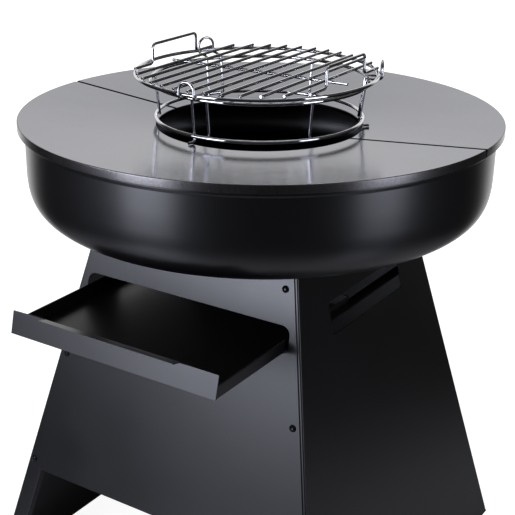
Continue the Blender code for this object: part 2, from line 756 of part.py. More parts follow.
def make_drawer_tray():
    """An open tray of folded sheet, its front wall leaning with the base."""
    wall_top = TRAY_BOTTOM + TRAY_WALL_HEIGHT
    behind = (DRAWER_SHEET + GAP) / math.cos(FRONT_LEAN)
    side = TRAY_HALF_WIDTH
    front = drawer_face_y(TRAY_BOTTOM) + behind
    back = drawer_face_y(TRAY_BOTTOM) + TRAY_LENGTH
    lean = drawer_face_y(wall_top) + behind - front
    front_row = [Vector((-side, front, TRAY_BOTTOM)), Vector((side, front, TRAY_BOTTOM))]
    back_row = [Vector((-side, back, TRAY_BOTTOM)), Vector((side, back, TRAY_BOTTOM))]
    model = flat_strip(front_row, back_row)
    leaning, upright = (0, lean, TRAY_WALL_HEIGHT), (0, 0, TRAY_WALL_HEIGHT)
    fold_out(model, front_row + back_row[::-1], [leaning, leaning, upright, upright], closed=True)
    sheet_part("drawer_tray", model, (0, 0, -1), DRAWER_SHEET, DRAWER_BODY, BLACK_POWDER)


def make_drawer_front():
    """The drawer's front: a leaning strip whose top edge folds out square into the pull lip."""
    columns = (-DRAWER_FRONT_HALF_WIDTH, -LIP_HALF_WIDTH, LIP_HALF_WIDTH, DRAWER_FRONT_HALF_WIDTH)
    low, high = (
        [Vector((x, drawer_face_y(z), z)) for x in columns] for z in (DRAWER_FRONT_BOTTOM, DRAWER_FRONT_TOP)
    )
    model = flat_strip(low, high)
    lip = (0, -LIP_DEPTH * math.cos(FRONT_LEAN), LIP_DEPTH * math.sin(FRONT_LEAN))
    fold_out(model, high[1:3], [lip] * 2)
    sheet_part("drawer_front", model, (0, -1, 0), DRAWER_SHEET, DRAWER_BODY, BLACK_POWDER)


def make_runner(name, side):
    """A Z-folded rail that the tray slides on, with end tabs on the side panel's flanges."""
    web = TRAY_HALF_WIDTH + RUNNER_CLEARANCE + RUNNER_SHEET
    bottom = TRAY_BOTTOM - GAP - RUNNER_SHEET
    top = bottom + RUNNER_WEB_HEIGHT
    behind_flange = FLANGE_SETBACK + (SHEET + GAP + RUNNER_SHEET) / math.cos(FRONT_LEAN)
    tab = half_depth(top) - behind_flange
    ledge_front = -tab + LEDGE_FRONT_SETBACK
    ledge_back = tab - RETURN_DEPTH - LEDGE_BACK_SETBACK

    def row(z):
        end = half_depth(z) - behind_flange
        return [Vector((side * web, y, z)) for y in (-end, ledge_front, ledge_back, end)]

    low, high = row(bottom), row(top)
    model = flat_strip(low, high)
    fold_out(model, low[1:3], [(-side * RUNNER_LEDGE_WIDTH, 0, 0)] * 2)
    fold_out(model, high[1:3], [(side * RUNNER_FLANGE_WIDTH, 0, 0)] * 2)
    for column in (0, 3):
        fold_out(model, [low[column], high[column]], [(side * RUNNER_TAB_WIDTH, 0, 0)] * 2)
    sheet_part(name, model, (side, 0, 0), RUNNER_SHEET, BASE_BODY, BLACK_POWDER)


# The wire stand


def ring_points(radius, height, count):
    turns = [math.tau * k / count for k in range(count)]
    return [(radius * math.cos(t), radius * math.sin(t), height) for t in turns]


def beside_ring(radius, aside):
    """How far out an upright stands that touches the inside of a ring, a distance aside of its middle."""
    return math.sqrt((radius - STAND_BEND) ** 2 - aside * aside)


def loop_reach(angle):
    """How far out a loop stands so that it just clears the grate's ring where the grate lies."""
    way = Vector((math.cos(angle), math.sin(angle), 0))
    return GRATE_RING_RADIUS + RING_WIRE + STAND_WIRE + LOOP_CLEARANCE + way.dot(GRATE_SHIFT)


def loop_path(reach):
    """One loop wire in the XZ plane of its pair: foot, upright, arm, hoop, arm, and upright."""
    half = LOOP_HALF_WIDTH
    low = beside_ring(LOWER_RING_RADIUS, half)
    high = beside_ring(UPPER_RING_RADIUS, half)
    lean = (high - low) / STAND_HEIGHT

    def upright(z):
        return low + lean * (z - LOWER_RING_Z)

    foot_z = plate_top_at(PLATE_HOLE_RADIUS) + STAND_WIRE + GAP
    foot_end_z = plate_top_at(FOOT_RADIUS) + STAND_WIRE + GAP
    end_z = LOWER_RING_Z - RING_WIRE
    hoop_z = ARM_Z + LOOP_HEIGHT - half
    footed = [
        (FOOT_RADIUS, -half, foot_end_z),
        (upright(foot_z), -half, foot_z),
        (upright(ARM_Z), -half, ARM_Z),
        (reach, -half, ARM_Z),
        (reach, -half, hoop_z),
    ]
    plain = [
        (upright(end_z), half, end_z),
        (upright(ARM_Z), half, ARM_Z),
        (reach, half, ARM_Z),
        (reach, half, hoop_z),
    ]
    hoop = [Vector((reach, y, z)) for y, z in arc((0, hoop_z), half, 180, 0, HOOP_FACETS)]
    return bend_path(footed, STAND_BEND)[:-1] + hoop + bend_path(plain, STAND_BEND)[-2::-1]


def make_stand():
    for name, radius, height in (
        ("stand_lower_ring", LOWER_RING_RADIUS, LOWER_RING_Z),
        ("stand_upper_ring", UPPER_RING_RADIUS, UPPER_RING_Z),
    ):
        wire_part(name, ring_points(radius, height, LOWER_FACETS), RING_WIRE, STAND_BODY, cyclic=True)
    for number, degrees in enumerate(LOOP_ANGLES, 1):
        angle = math.radians(degrees)
        turn = Matrix.Rotation(angle, 3, "Z")
        path = [turn @ place for place in loop_path(loop_reach(angle))]
        wire_part(f"stand_loop_{number}", path, STAND_WIRE, STAND_BODY)
    for number, degrees in enumerate(POST_ANGLES, 1):
        turn = Matrix.Rotation(math.radians(degrees), 3, "Z")
        low = Vector((beside_ring(LOWER_RING_RADIUS, 0), 0, LOWER_RING_Z - RING_WIRE))
        high = Vector((beside_ring(UPPER_RING_RADIUS, 0), 0, UPPER_RING_Z + RING_WIRE))
        wire_part(f"stand_post_{number}", [turn @ low, turn @ high], STAND_WIRE, STAND_BODY)


# The wire grate


def grate_place(points):
    """Points drawn about the grate's own centre, taken to where the loose grate lies."""
    turn = Matrix.Rotation(GRATE_TURN, 3, "Z")
    return [turn @ Vector(p) + GRATE_SHIFT for p in points]


def chord_half(x):
    """Half the length of a rod across the grate's ring, with its small overhang."""
    return math.sqrt(GRATE_RING_RADIUS ** 2 - x * x) + ROD_OVERHANG


def make_grate():
    ring = grate_place(ring_points(GRATE_RING_RADIUS, GRATE_RING_Z, RING_FACETS))
    wire_part("grate_ring", ring, RING_WIRE, GRATE_BODY, cyclic=True)
    for number in range(1, ROD_COUNT + 1):
        x = (number - (ROD_COUNT + 1) / 2) * ROD_PITCH
        rod = grate_place([(x, -chord_half(x), ROD_Z), (x, chord_half(x), ROD_Z)])
        wire_part(f"grate_rod_{number}", rod, ROD_WIRE, GRATE_BODY)
    half = CROSS_ROD_LENGTH / 2
    cross_z = ROD_Z - 2 * ROD_WIRE - GAP
    wire_part("grate_cross_rod", grate_place([(-half, 0, cross_z), (half, 0, cross_z)]), ROD_WIRE, GRATE_BODY)
    for name, x in (("grate_handle_left", -HANDLE_OFFSET), ("grate_handle_right", HANDLE_OFFSET)):
        foot = chord_half(x)
        path = bend_path(
            [
                (x, -foot, ROD_Z),
                (x, -HANDLE_HALF_LENGTH, ROD_Z),
                (x, -HANDLE_HALF_LENGTH, ROD_Z + HANDLE_RISE),
                (x, HANDLE_HALF_LENGTH, ROD_Z + HANDLE_RISE),
                (x, HANDLE_HALF_LENGTH, ROD_Z),
                (x, foot, ROD_Z),
            ],
            HANDLE_BEND,
        )
        wire_part(name, grate_place(path), ROD_WIRE, GRATE_BODY)


make_face_panel("front_panel", -1, True)
make_face_panel("back_panel", 1, False)
make_side_panel("left_side_panel", -1)
make_side_panel("right_side_panel", 1)
make_panel_screws()
make_bowl()
make_ash_grate()
make_bowl_bolts()
make_runner("drawer_runner_left", -1)
make_runner("drawer_runner_right", 1)
make_drawer_tray()
make_drawer_front()
make_plate_half("plate_half_front", -1)
make_plate_half("plate_half_back", 1)
make_stand()
make_grate()
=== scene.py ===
"""The looks of a cooking brazier: a tapered black base with an ash drawer, a deep fire bowl, a
split cooking plate round the fire hole, and a chromed wire stand with a round grate on it.

Metres, +Z up. Each section makes one piece or one group of like pieces, from the floor upwards."""

import math

import bmesh
import bpy
from mathutils import Matrix, Vector


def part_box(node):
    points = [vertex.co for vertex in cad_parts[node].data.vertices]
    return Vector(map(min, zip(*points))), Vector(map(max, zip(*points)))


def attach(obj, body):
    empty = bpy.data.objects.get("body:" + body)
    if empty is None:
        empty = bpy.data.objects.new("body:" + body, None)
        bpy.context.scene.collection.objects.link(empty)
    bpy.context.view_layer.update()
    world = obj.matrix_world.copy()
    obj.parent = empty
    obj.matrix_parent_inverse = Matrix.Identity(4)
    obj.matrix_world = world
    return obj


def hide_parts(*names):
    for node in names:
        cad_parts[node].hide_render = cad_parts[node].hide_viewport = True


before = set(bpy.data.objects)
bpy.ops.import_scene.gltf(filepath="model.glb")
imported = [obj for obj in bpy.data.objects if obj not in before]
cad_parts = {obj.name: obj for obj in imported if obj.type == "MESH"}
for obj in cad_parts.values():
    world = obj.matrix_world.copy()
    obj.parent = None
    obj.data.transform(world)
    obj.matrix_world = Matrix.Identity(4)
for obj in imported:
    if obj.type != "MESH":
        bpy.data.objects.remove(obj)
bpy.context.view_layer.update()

# The photograph's view: from the right of the drawer's side, a little above the plate, with the
# middle of the lens moved sideways by a tenth of the picture's width.

LENS = 80.91
SENSOR = 36.0
SIDE_SHIFT = 0.102
VIEW_PLACE = (1.003, -1.5876, 1.320)
VIEW_TURN = (68.58, 0.0, 34.85)

lens = bpy.data.cameras.new("camera")
lens.lens = LENS
lens.sensor_width = SENSOR
lens.shift_x = SIDE_SHIFT
camera = bpy.data.objects.new("camera", lens)
camera.location = VIEW_PLACE
camera.rotation_euler = [math.radians(turn) for turn in VIEW_TURN]
bpy.context.scene.collection.objects.link(camera)
bpy.context.scene.camera = camera


# The two side panels stand on the floor and carry everything. Each is one sheet of 2 mm steel,
# folded to flanges at the front and back and to a shelf under the bowl, and powder coated black.

SHEET = 0.002
SHEET_FOLD = 0.0026
CUT_EDGE_ROUND = 0.00035
FOLD_STEPS = 3
SAME_POINT = 1e-5
SAME_PLANE = math.radians(0.5)
SHARP_EDGE = math.radians(30)
WIDE_IN_SHEETS = 2
LONG_IN_SHEETS = 4
COAT_COLOUR = (0.0012, 0.0012, 0.0014)
COAT_ROUGHNESS = 0.33
COAT_CLOUDS = 9.0
COAT_CLOUD_GLOSS = 0.08
CLOUD_TINT = 1.6
COARSE_PEEL = 420.0
FINE_PEEL = 1300.0
COAT_PEEL = 0.00010
COAT_PEEL_STRENGTH = 0.35


class Socket:
    """A socket of a node tree that stands in a sum like a number: each sign adds a Math node."""

    def __init__(self, tree, plug):
        self.tree = tree
        self.plug = plug

    def node(self, kind, settings, values, out=0):
        """Any node: its settings come first, then the values or links of its sockets."""
        made = self.tree.nodes.new(kind)
        for name, setting in settings.items():
            setattr(made, name, setting)
        for name, value in values.items():
            if isinstance(value, Socket):
                self.tree.links.new(value.plug, made.inputs[name])
            else:
                made.inputs[name].default_value = value
        return Socket(self.tree, made.outputs[out])

    def maths(self, operation, *terms):
        return self.node("ShaderNodeMath", {"operation": operation}, dict(enumerate(terms)))

    def __add__(self, other):
        return self.maths("ADD", self, other)

    def __radd__(self, other):
        return self.maths("ADD", other, self)

    def __sub__(self, other):
        return self.maths("SUBTRACT", self, other)

    def __rsub__(self, other):
        return self.maths("SUBTRACT", other, self)

    def __mul__(self, other):
        return self.maths("MULTIPLY", self, other)

    def __rmul__(self, other):
        return self.maths("MULTIPLY", other, self)

    def __truediv__(self, other):
        return self.maths("DIVIDE", self, other)

    def __rtruediv__(self, other):
        return self.maths("DIVIDE", other, self)

    def __pow__(self, other):
        return self.maths("POWER", self, other)

    def clamped(self):
        return self.node("ShaderNodeClamp", {}, {"Value": self})

    def part(self, axis):
        return self.node("ShaderNodeSeparateXYZ", {}, {0: self}, axis)


def new_finish(name, **settings):
    """A material, its shader node, and its Object coordinates. The settings stay constants."""
    made = bpy.data.materials.new(name)
    made.use_nodes = True
    shader = made.node_tree.nodes["Principled BSDF"]
    for label, value in settings.items():
        shader.inputs[label.replace("_", " ").title().replace("Ior", "IOR")].default_value = value
    where = made.node_tree.nodes.new("ShaderNodeTexCoord")
    return made, shader, Socket(made.node_tree, where.outputs["Object"])


def link(value, shader, label):
    value.tree.links.new(value.plug, shader.inputs[label])


def noise(where, scale, detail=2.0):
    values = {"Vector": where, "Scale": scale, "Detail": detail}
    return where.node("ShaderNodeTexNoise", {}, values, "Fac")


def tinted(amount, dark, light):
    """A colour between dark and light, each plain or a socket, by an amount from 0 to 1."""
    dark, light = (end if isinstance(end, Socket) else (*end, 1.0) for end in (dark, light))
    return amount.node("ShaderNodeMix", {"data_type": "RGBA"}, {0: amount, 6: dark, 7: light}, 2)


def lighter(colour, times):
    return tuple(times * part for part in colour)


def bumped(height, strength, distance):
    values = {"Height": height, "Strength": strength, "Distance": distance}
    return height.node("ShaderNodeBump", {}, values, "Normal")


def powder_coat():
    """Black polyester powder: fine orange peel, faint clouds in its gloss, no metal in it."""
    coat, shader, where = new_finish("black_powder_coat", specular_ior_level=0.5)
    clouds = noise(where, COAT_CLOUDS, 3.0)
    peel = noise(where, COARSE_PEEL) * 0.6 + noise(where, FINE_PEEL, 1.0) * 0.4
    link(tinted(clouds, COAT_COLOUR, lighter(COAT_COLOUR, CLOUD_TINT)), shader, "Base Color")
    link(COAT_ROUGHNESS + (clouds - 0.5) * COAT_CLOUD_GLOSS, shader, "Roughness")
    link(bumped(peel, COAT_PEEL_STRENGTH, COAT_PEEL), shader, "Normal")
    return coat


POWDER = powder_coat()


def reach_across(face, edge):
    """How far a face reaches away from the line of one of its edges."""
    start, end = (corner.co for corner in edge.verts)
    along = (end - start).normalized()
    return max(((v.co - start) - along * (v.co - start).dot(along)).length for v in face.verts)


def folded_copy(node, body, sheet, fold):
    """A CAD sheet with its bends rounded outside and inside, and its cut edges broken.

    A bend is a long edge between two wide faces, and any other sharp edge is a cut one."""
    model = bmesh.new()
    model.from_mesh(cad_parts[node].data)
    bmesh.ops.remove_doubles(model, verts=model.verts, dist=SAME_POINT)
    bmesh.ops.dissolve_limit(model, angle_limit=SAME_PLANE, verts=model.verts, edges=model.edges)
    weights = model.edges.layers.float.new("bevel_weight_edge")
    for edge in model.edges:
        if len(edge.link_faces) != 2 or edge.calc_face_angle(0.0) < SHARP_EDGE:
            continue
        wide = min(reach_across(face, edge) for face in edge.link_faces) > WIDE_IN_SHEETS * sheet
        if wide and edge.calc_length() > LONG_IN_SHEETS * sheet:
            edge[weights] = 1.0 if edge.is_convex else (fold - sheet) / fold
        else:
            edge[weights] = CUT_EDGE_ROUND / fold
    shape = bpy.data.meshes.new(node + "_sheet")
    model.to_mesh(shape)
    model.free()
    piece = bpy.data.objects.new(node + "_sheet", shape)
    bpy.context.scene.collection.objects.link(piece)
    rounding = piece.modifiers.new("rounding", "BEVEL")
    rounding.width = fold
    rounding.segments = FOLD_STEPS
    rounding.limit_method = "WEIGHT"
    rounding.use_clamp_overlap = False
    shape.shade_smooth()
    piece.modifiers.new("normals", "WEIGHTED_NORMAL")
    shape.materials.append(POWDER)
    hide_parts(node)
    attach(piece, body)


for node in ("left_side_panel", "right_side_panel"):
    folded_copy(node, "base", SHEET, SHEET_FOLD)


# The front and back panels are flat sheets screwed over the side panels' flanges. The front one
# is laser cut for the ash drawer, and both are powder coated like the sides.

for node in ("front_panel", "back_panel"):
    folded_copy(node, "base", SHEET, SHEET_FOLD)


# Twelve blackened button-head screws with hexagon sockets hold the face panels to the flanges,
# three up each edge.

SCREW_LENGTH = 0.010
BASE_FOOT_DEPTH = 0.700
BASE_TOP_DEPTH = 0.3916
BASE_RISE = 0.6664
PANEL_LEAN = math.atan((BASE_FOOT_DEPTH - BASE_TOP_DEPTH) / 2 / BASE_RISE)
SOCKET_POINT = 0.0004
SOCKET_MOUTH = 1.22
MOUTH_CHAMFER = 0.00015
DOME_ROWS = (0.62, 0.76, 0.88, 0.96, 1.0)
SCREW_SIDES = 36
FINE_POINT = 1e-6
BLACKENED_DARK = (0.008, 0.008, 0.009)
BLACKENED_LIGHT = (0.022, 0.022, 0.024)
BLACKENED_ROUGHNESS = 0.20
STAINS = 400.0
STAIN_ROUGHER = 0.10


def blackened_steel():
    """Black-oxide screw steel: dark, with an oily half gloss."""
    steel, shader, where = new_finish("blackened_steel", metallic=0.85)
    stain = noise(where, STAINS)
    link(tinted(stain, BLACKENED_DARK, BLACKENED_LIGHT), shader, "Base Color")
    link(BLACKENED_ROUGHNESS + stain * STAIN_ROUGHER, shader, "Roughness")
    return steel


BLACKENED = blackened_steel()


def new_tree(name, inputs, drawn=False):
    """A Geometry Nodes tree with named inputs, and a socket of each to start from."""
    tree = bpy.data.node_groups.new(name, "GeometryNodeTree")
    tree.interface.new_socket("Geometry", in_out="OUTPUT", socket_type="NodeSocketGeometry")
    if drawn:
        tree.interface.new_socket("Drawn", in_out="INPUT", socket_type="NodeSocketGeometry")
    for label, value in inputs.items():
        kind = "NodeSocketInt" if isinstance(value, int) else "NodeSocketFloat"
        if isinstance(value, bpy.types.Material):
            kind = "NodeSocketMaterial"
        tree.interface.new_socket(label, in_out="INPUT", socket_type=kind)
    start = tree.nodes.new("NodeGroupInput")
    return tree, {plug.name: Socket(tree, plug) for plug in start.outputs if plug.name}


def close_tree(shape, finish):
    """Ends a tree in Realize Instances and Set Material, because the export drops instances."""
    real = shape.node("GeometryNodeRealizeInstances", {}, {"Geometry": shape})
    painted = real.node("GeometryNodeSetMaterial", {}, {"Geometry": real, "Material": finish})
    end = shape.tree.nodes.new("NodeGroupOutput")
    shape.tree.links.new(painted.plug, end.inputs["Geometry"])


def grown(name, tree, inputs, drawn=None, sharp=35.0):
    """One object with the plain mesh that a tree makes from its inputs and a drawn mesh or curve."""
    guide = bpy.data.objects.new(name + "_guide", drawn or bpy.data.meshes.new(name + "_guide"))
    bpy.context.scene.collection.objects.link(guide)
    if guide.type == "CURVE":
        guide.data.dimensions = "3D"
    growth = guide.modifiers.new("growth", "NODES")
    growth.node_group = tree
    for item in tree.interface.items_tree:
        if item.item_type == "SOCKET" and item.in_out == "INPUT" and item.name in inputs:
            growth[item.identifier] = inputs[item.name]
    bpy.context.view_layer.update()
    graph = bpy.context.evaluated_depsgraph_get()
    shape = bpy.data.meshes.new_from_object(guide.evaluated_get(graph))
    guide.modifiers.remove(growth)
    bpy.data.objects.remove(guide)
    shape.name = name
    shape.materials.clear()
    shape.materials.append(inputs["Finish"])
    shape.shade_smooth()
    shape.set_sharp_from_angle(angle=math.radians(sharp))
    piece = bpy.data.objects.new(name, shape)
    bpy.context.scene.collection.objects.link(piece)
    return piece


def along(row, values):
    """The value that a row of the grid takes, on straight runs between the rows' own values."""
    total = values[0]
    for k, (here, there) in enumerate(zip(values, values[1:])):
        if isinstance(here, Socket) or isinstance(there, Socket) or here != there:
            total = (there - here) * (row - k).clamped() + total
    return total


def turned(first, section, columns):
    """A closed surface turned about Z. A section's point is its radius, its height, and 1 for a
    hexagon or 0 for a circle."""
    rows = len(section) - 1
    sizes = {"Size X": float(rows), "Size Y": math.tau, "Vertices X": rows + 1, "Vertices Y": columns + 1}
    grid = first.node("GeometryNodeMeshGrid", {}, sizes, "Mesh")
    place = first.node("GeometryNodeInputPosition", {}, {})
    row = place.part("X") + rows / 2
    turn = place.part("Y")
    bay = first.maths("MODULO", turn + math.pi, math.pi / 3) - math.pi / 6
    corner = 1.0 / first.maths("COSINE", bay) - 1.0
    radius, height, six_sided = (along(row, values) for values in zip(*section))
    reach = radius * (1.0 + six_sided * corner) if isinstance(six_sided, Socket) else radius
    spot = {"X": reach * first.maths("COSINE", turn), "Y": reach * first.maths("SINE", turn), "Z": height}
    there = first.node("ShaderNodeCombineXYZ", {}, spot)
    moved = first.node("GeometryNodeSetPosition", {}, {"Geometry": grid, "Position": there})
    values = {"Geometry": moved, "Distance": FINE_POINT}
    return first.node("GeometryNodeMergeByDistance", {}, values)


def seat_each(shape, seats):
    """An instance of a shape on each drawn point, its Z along the point's outward attribute."""
    kind = {"data_type": "FLOAT_VECTOR"}
    outward = shape.node("GeometryNodeInputNamedAttribute", kind, {"Name": "outward"})
    turn = shape.node("FunctionNodeAlignRotationToVector", {"axis": "Z"}, {"Vector": outward})
    values = {"Points": seats, "Instance": shape, "Rotation": turn}
    return shape.node("GeometryNodeInstanceOnPoints", {}, values)


def drawn_points(name, seats):
    """A mesh of loose points, each with the way that it faces."""
    shape = bpy.data.meshes.new(name)
    shape.from_pydata([place for place, outward in seats], [], [])
    ways = shape.attributes.new("outward", "FLOAT_VECTOR", "POINT")
    for slot, (place, outward) in zip(ways.data, seats):
        slot.vector = outward
    return shape


def screw_tree():
    """A button-head screw from the middle of its socket, over its dome and down to its tip."""
    inputs = {
        "Head Radius": 0.0058, "Head Height": 0.0032, "Head Edge": 0.0004, "Socket Radius": 0.0020,
        "Socket Depth": 0.0019, "Shank Radius": 0.003, "Length": SCREW_LENGTH, "Tip": 0.0005,
        "Finish": BLACKENED,
    }
    tree, value = new_tree("socket_screw", inputs, drawn=True)
    head, high = value["Head Radius"], value["Head Height"]
    socket, deep = value["Socket Radius"], value["Socket Depth"]
    shank, length, tip = value["Shank Radius"], value["Length"], value["Tip"]
    dome = high - value["Head Edge"]
    mouth = socket * SOCKET_MOUTH
    mouth_share = mouth / head
    mouth_height = high - dome * mouth_share * mouth_share
    section = [
        (0.0, high - deep - SOCKET_POINT, 0.0),
        (socket, high - deep, 1.0),
        (socket, mouth_height - MOUTH_CHAMFER, 1.0),
        (mouth, mouth_height, 0.0),
        *((head * share, high - dome * share * share, 0.0) for share in DOME_ROWS),
        (head, 0.0, 0.0),
        (shank, 0.0, 0.0),
        (shank, tip - length, 0.0),
        (shank - tip, 0.0 - length, 0.0),
        (0.0, 0.0 - length, 0.0),
    ]
    close_tree(seat_each(turned(head, section, SCREW_SIDES), value["Drawn"]), value["Finish"])
    return tree, inputs


def seat_of(node, outward, length):
    """Where a screw's head bears, from its CAD solid's middle line and its shank's far end."""
    corners = [v.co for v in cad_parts[node].data.vertices]
    middle = sum(corners, Vector()) / len(corners)
    tip = min(corner.dot(outward) for corner in corners)
    return middle + outward * (tip + length - middle.dot(outward))


SCREWS, screw_sizes = screw_tree()
panel_screws = []
for face, side in (("front", -1), ("back", 1)):
    outward = Vector((0, side * math.cos(PANEL_LEAN), math.sin(PANEL_LEAN)))
    for number in range(1, 7):
        panel_screws.append((f"{face}_screw_{number}", outward))
seats = [(seat_of(node, outward, SCREW_LENGTH), outward) for node, outward in panel_screws]
screws = grown("panel_screws", SCREWS, screw_sizes, drawn_points("screw_seats", seats))
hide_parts(*[node for node, outward in panel_screws])
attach(screws, "base")


# The two runners are Z-folded rails on the side panels' flanges; the ash drawer slides on them.

THIN_SHEET = 0.0015
THIN_FOLD = 0.0020

for node in ("drawer_runner_left", "drawer_runner_right"):
    folded_copy(node, "base", THIN_SHEET, THIN_FOLD)


# The ash drawer is a folded tray with a separate front strip, whose top edge is bent out into a
# pull lip. Both are thin sheet, powder coated black.

for node in ("drawer_tray", "drawer_front"):
    folded_copy(node, "drawer", THIN_SHEET, THIN_FOLD)


# The fire bowl is deep drawn from steel sheet: a straight wall with a rolled hem, a round
# shoulder and a flat floor with the ash hole, under a satin black heat-proof enamel.

BOWL_RADIUS = 0.3882
BOWL_WALL = 0.0025
BOWL_STRAIGHT_WALL = 0.045
BOWL_SHOULDER_WIDTH = 0.206
BOWL_SHOULDER_HEIGHT = 0.117
BOWL_SHOULDER_POWER = 0.5227
BOWL_HEM_HEIGHT = 0.007
BOWL_HEM_STEP = 0.0012
ASH_HOLE_RADIUS = 0.060
BOWL_COLOUR = (0.0011, 0.0011, 0.0013)
BOWL_ROUGHNESS = 0.29
BOWL_CLOUDS = 6.0
BOWL_CLOUD_GLOSS = 0.06
BOWL_PEEL_WAVES = 260.0
BOWL_PEEL = 0.00008
BOWL_PEEL_STRENGTH = 0.25

bowl_low, bowl_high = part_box("fire_bowl")
AXIS_Y = (bowl_low.y + bowl_high.y) / 2


def bowl_enamel():
    """Heat-proof black enamel: glossier than powder, with a long soft orange peel."""
    enamel, shader, where = new_finish("bowl_enamel", specular_ior_level=0.62)
    clouds = noise(where, BOWL_CLOUDS, 3.0)
    peel = noise(where, BOWL_PEEL_WAVES)
    link(tinted(clouds, BOWL_COLOUR, lighter(BOWL_COLOUR, CLOUD_TINT)), shader, "Base Color")
    link(BOWL_ROUGHNESS + (clouds - 0.5) * BOWL_CLOUD_GLOSS, shader, "Roughness")
    link(bumped(peel, BOWL_PEEL_STRENGTH, BOWL_PEEL), shader, "Normal")
    return enamel


ENAMEL = bowl_enamel()


def bowl_tree():
    """A grid whose rows run down the bowl's outside, in stages: wall, shoulder and floor."""
    inputs = {
        "Radius": BOWL_RADIUS, "Top": bowl_high.z, "Wall": BOWL_STRAIGHT_WALL,
        "Hem Height": BOWL_HEM_HEIGHT, "Hem Step": BOWL_HEM_STEP, "Shoulder Width": BOWL_SHOULDER_WIDTH,
        "Shoulder Height": BOWL_SHOULDER_HEIGHT, "Power": BOWL_SHOULDER_POWER,
        "Hole Radius": ASH_HOLE_RADIUS, "Axis Y": AXIS_Y, "Rows": 76, "Columns": 193, "Finish": ENAMEL,
    }
    tree, value = new_tree("deep_drawn_bowl", inputs)
    first = value["Radius"]
    sizes = {"Size X": 3.0, "Size Y": math.tau}
    sizes.update({"Vertices X": value["Rows"], "Vertices Y": value["Columns"]})
    grid = first.node("GeometryNodeMeshGrid", {}, sizes, "Mesh")
    place = first.node("GeometryNodeInputPosition", {}, {})
    stage = place.part("X") + 1.5
    turn = place.part("Y")
    down_wall = value["Wall"] * stage.clamped()
    past_hem = ((down_wall - value["Hem Height"]) / value["Hem Step"]).clamped()
    bend = (stage - 1.0).clamped() * (math.pi / 2)
    across = first.maths("MAXIMUM", first.maths("COSINE", bend), 0.0) ** value["Power"]
    down = first.maths("MAXIMUM", first.maths("SINE", bend), 0.0) ** value["Power"]
    floor_run = value["Radius"] - value["Shoulder Width"] - value["Hole Radius"]
    outside = value["Radius"] + value["Hem Step"] * (1.0 - past_hem)
    radius = outside - value["Shoulder Width"] * (1.0 - across)
    radius = radius - (stage - 2.0).clamped() * floor_run
    spot = {
        "X": radius * first.maths("COSINE", turn),
        "Y": radius * first.maths("SINE", turn) + value["Axis Y"],
        "Z": value["Top"] - down_wall - down * value["Shoulder Height"],
    }
    there = first.node("ShaderNodeCombineXYZ", {}, spot)
    moved = first.node("GeometryNodeSetPosition", {}, {"Geometry": grid, "Position": there})
    values = {"Geometry": moved, "Distance": SAME_POINT}
    sewn = first.node("GeometryNodeMergeByDistance", {}, values)
    close_tree(sewn, value["Finish"])
    return tree, inputs


tree, bowl_sizes = bowl_tree()
bowl = grown("fire_bowl_shell", tree, bowl_sizes, sharp=60.0)
wall = bowl.modifiers.new("wall", "SOLIDIFY")
wall.thickness = BOWL_WALL
wall.offset = -1
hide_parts("fire_bowl")
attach(bowl, "base")


# The ash grate is a loose round plate over the hole in the bowl's floor, with long slots cut
# through it for the ash, and scorched dark by the fire.

ASH_GRATE_RADIUS = 0.075
ASH_GRATE_THICKNESS = 0.003
ASH_SLOTS = 7
ASH_SLOT_WIDTH = 0.008
ASH_SLOT_REACH = 0.057
ASH_SLOT_PITCH = 0.016
ASH_GRATE_SIDES = 96
SCORCHED_DARK = (0.010, 0.009, 0.009)
SCORCHED_LIGHT = (0.040, 0.037, 0.035)
SCORCHED_ROUGHNESS = 0.50
SOOT_PATCHES = 60.0
SOOT_ROUGHER = 0.25
SOOT_CRUST = 0.0002
SOOT_CRUST_STRENGTH = 0.3
CUT_ANGLE = math.radians(50)


def scorched_steel():
    """Raw steel that a fire has burnt dark: matt, with patches of soot."""
    steel, shader, where = new_finish("scorched_steel", metallic=0.6)
    soot = noise(where, SOOT_PATCHES, 4.0)
    link(tinted(soot, SCORCHED_DARK, SCORCHED_LIGHT), shader, "Base Color")
    link(SCORCHED_ROUGHNESS + soot * SOOT_ROUGHER, shader, "Roughness")
    link(bumped(soot, SOOT_CRUST_STRENGTH, SOOT_CRUST), shader, "Normal")
    return steel


SCORCHED = scorched_steel()


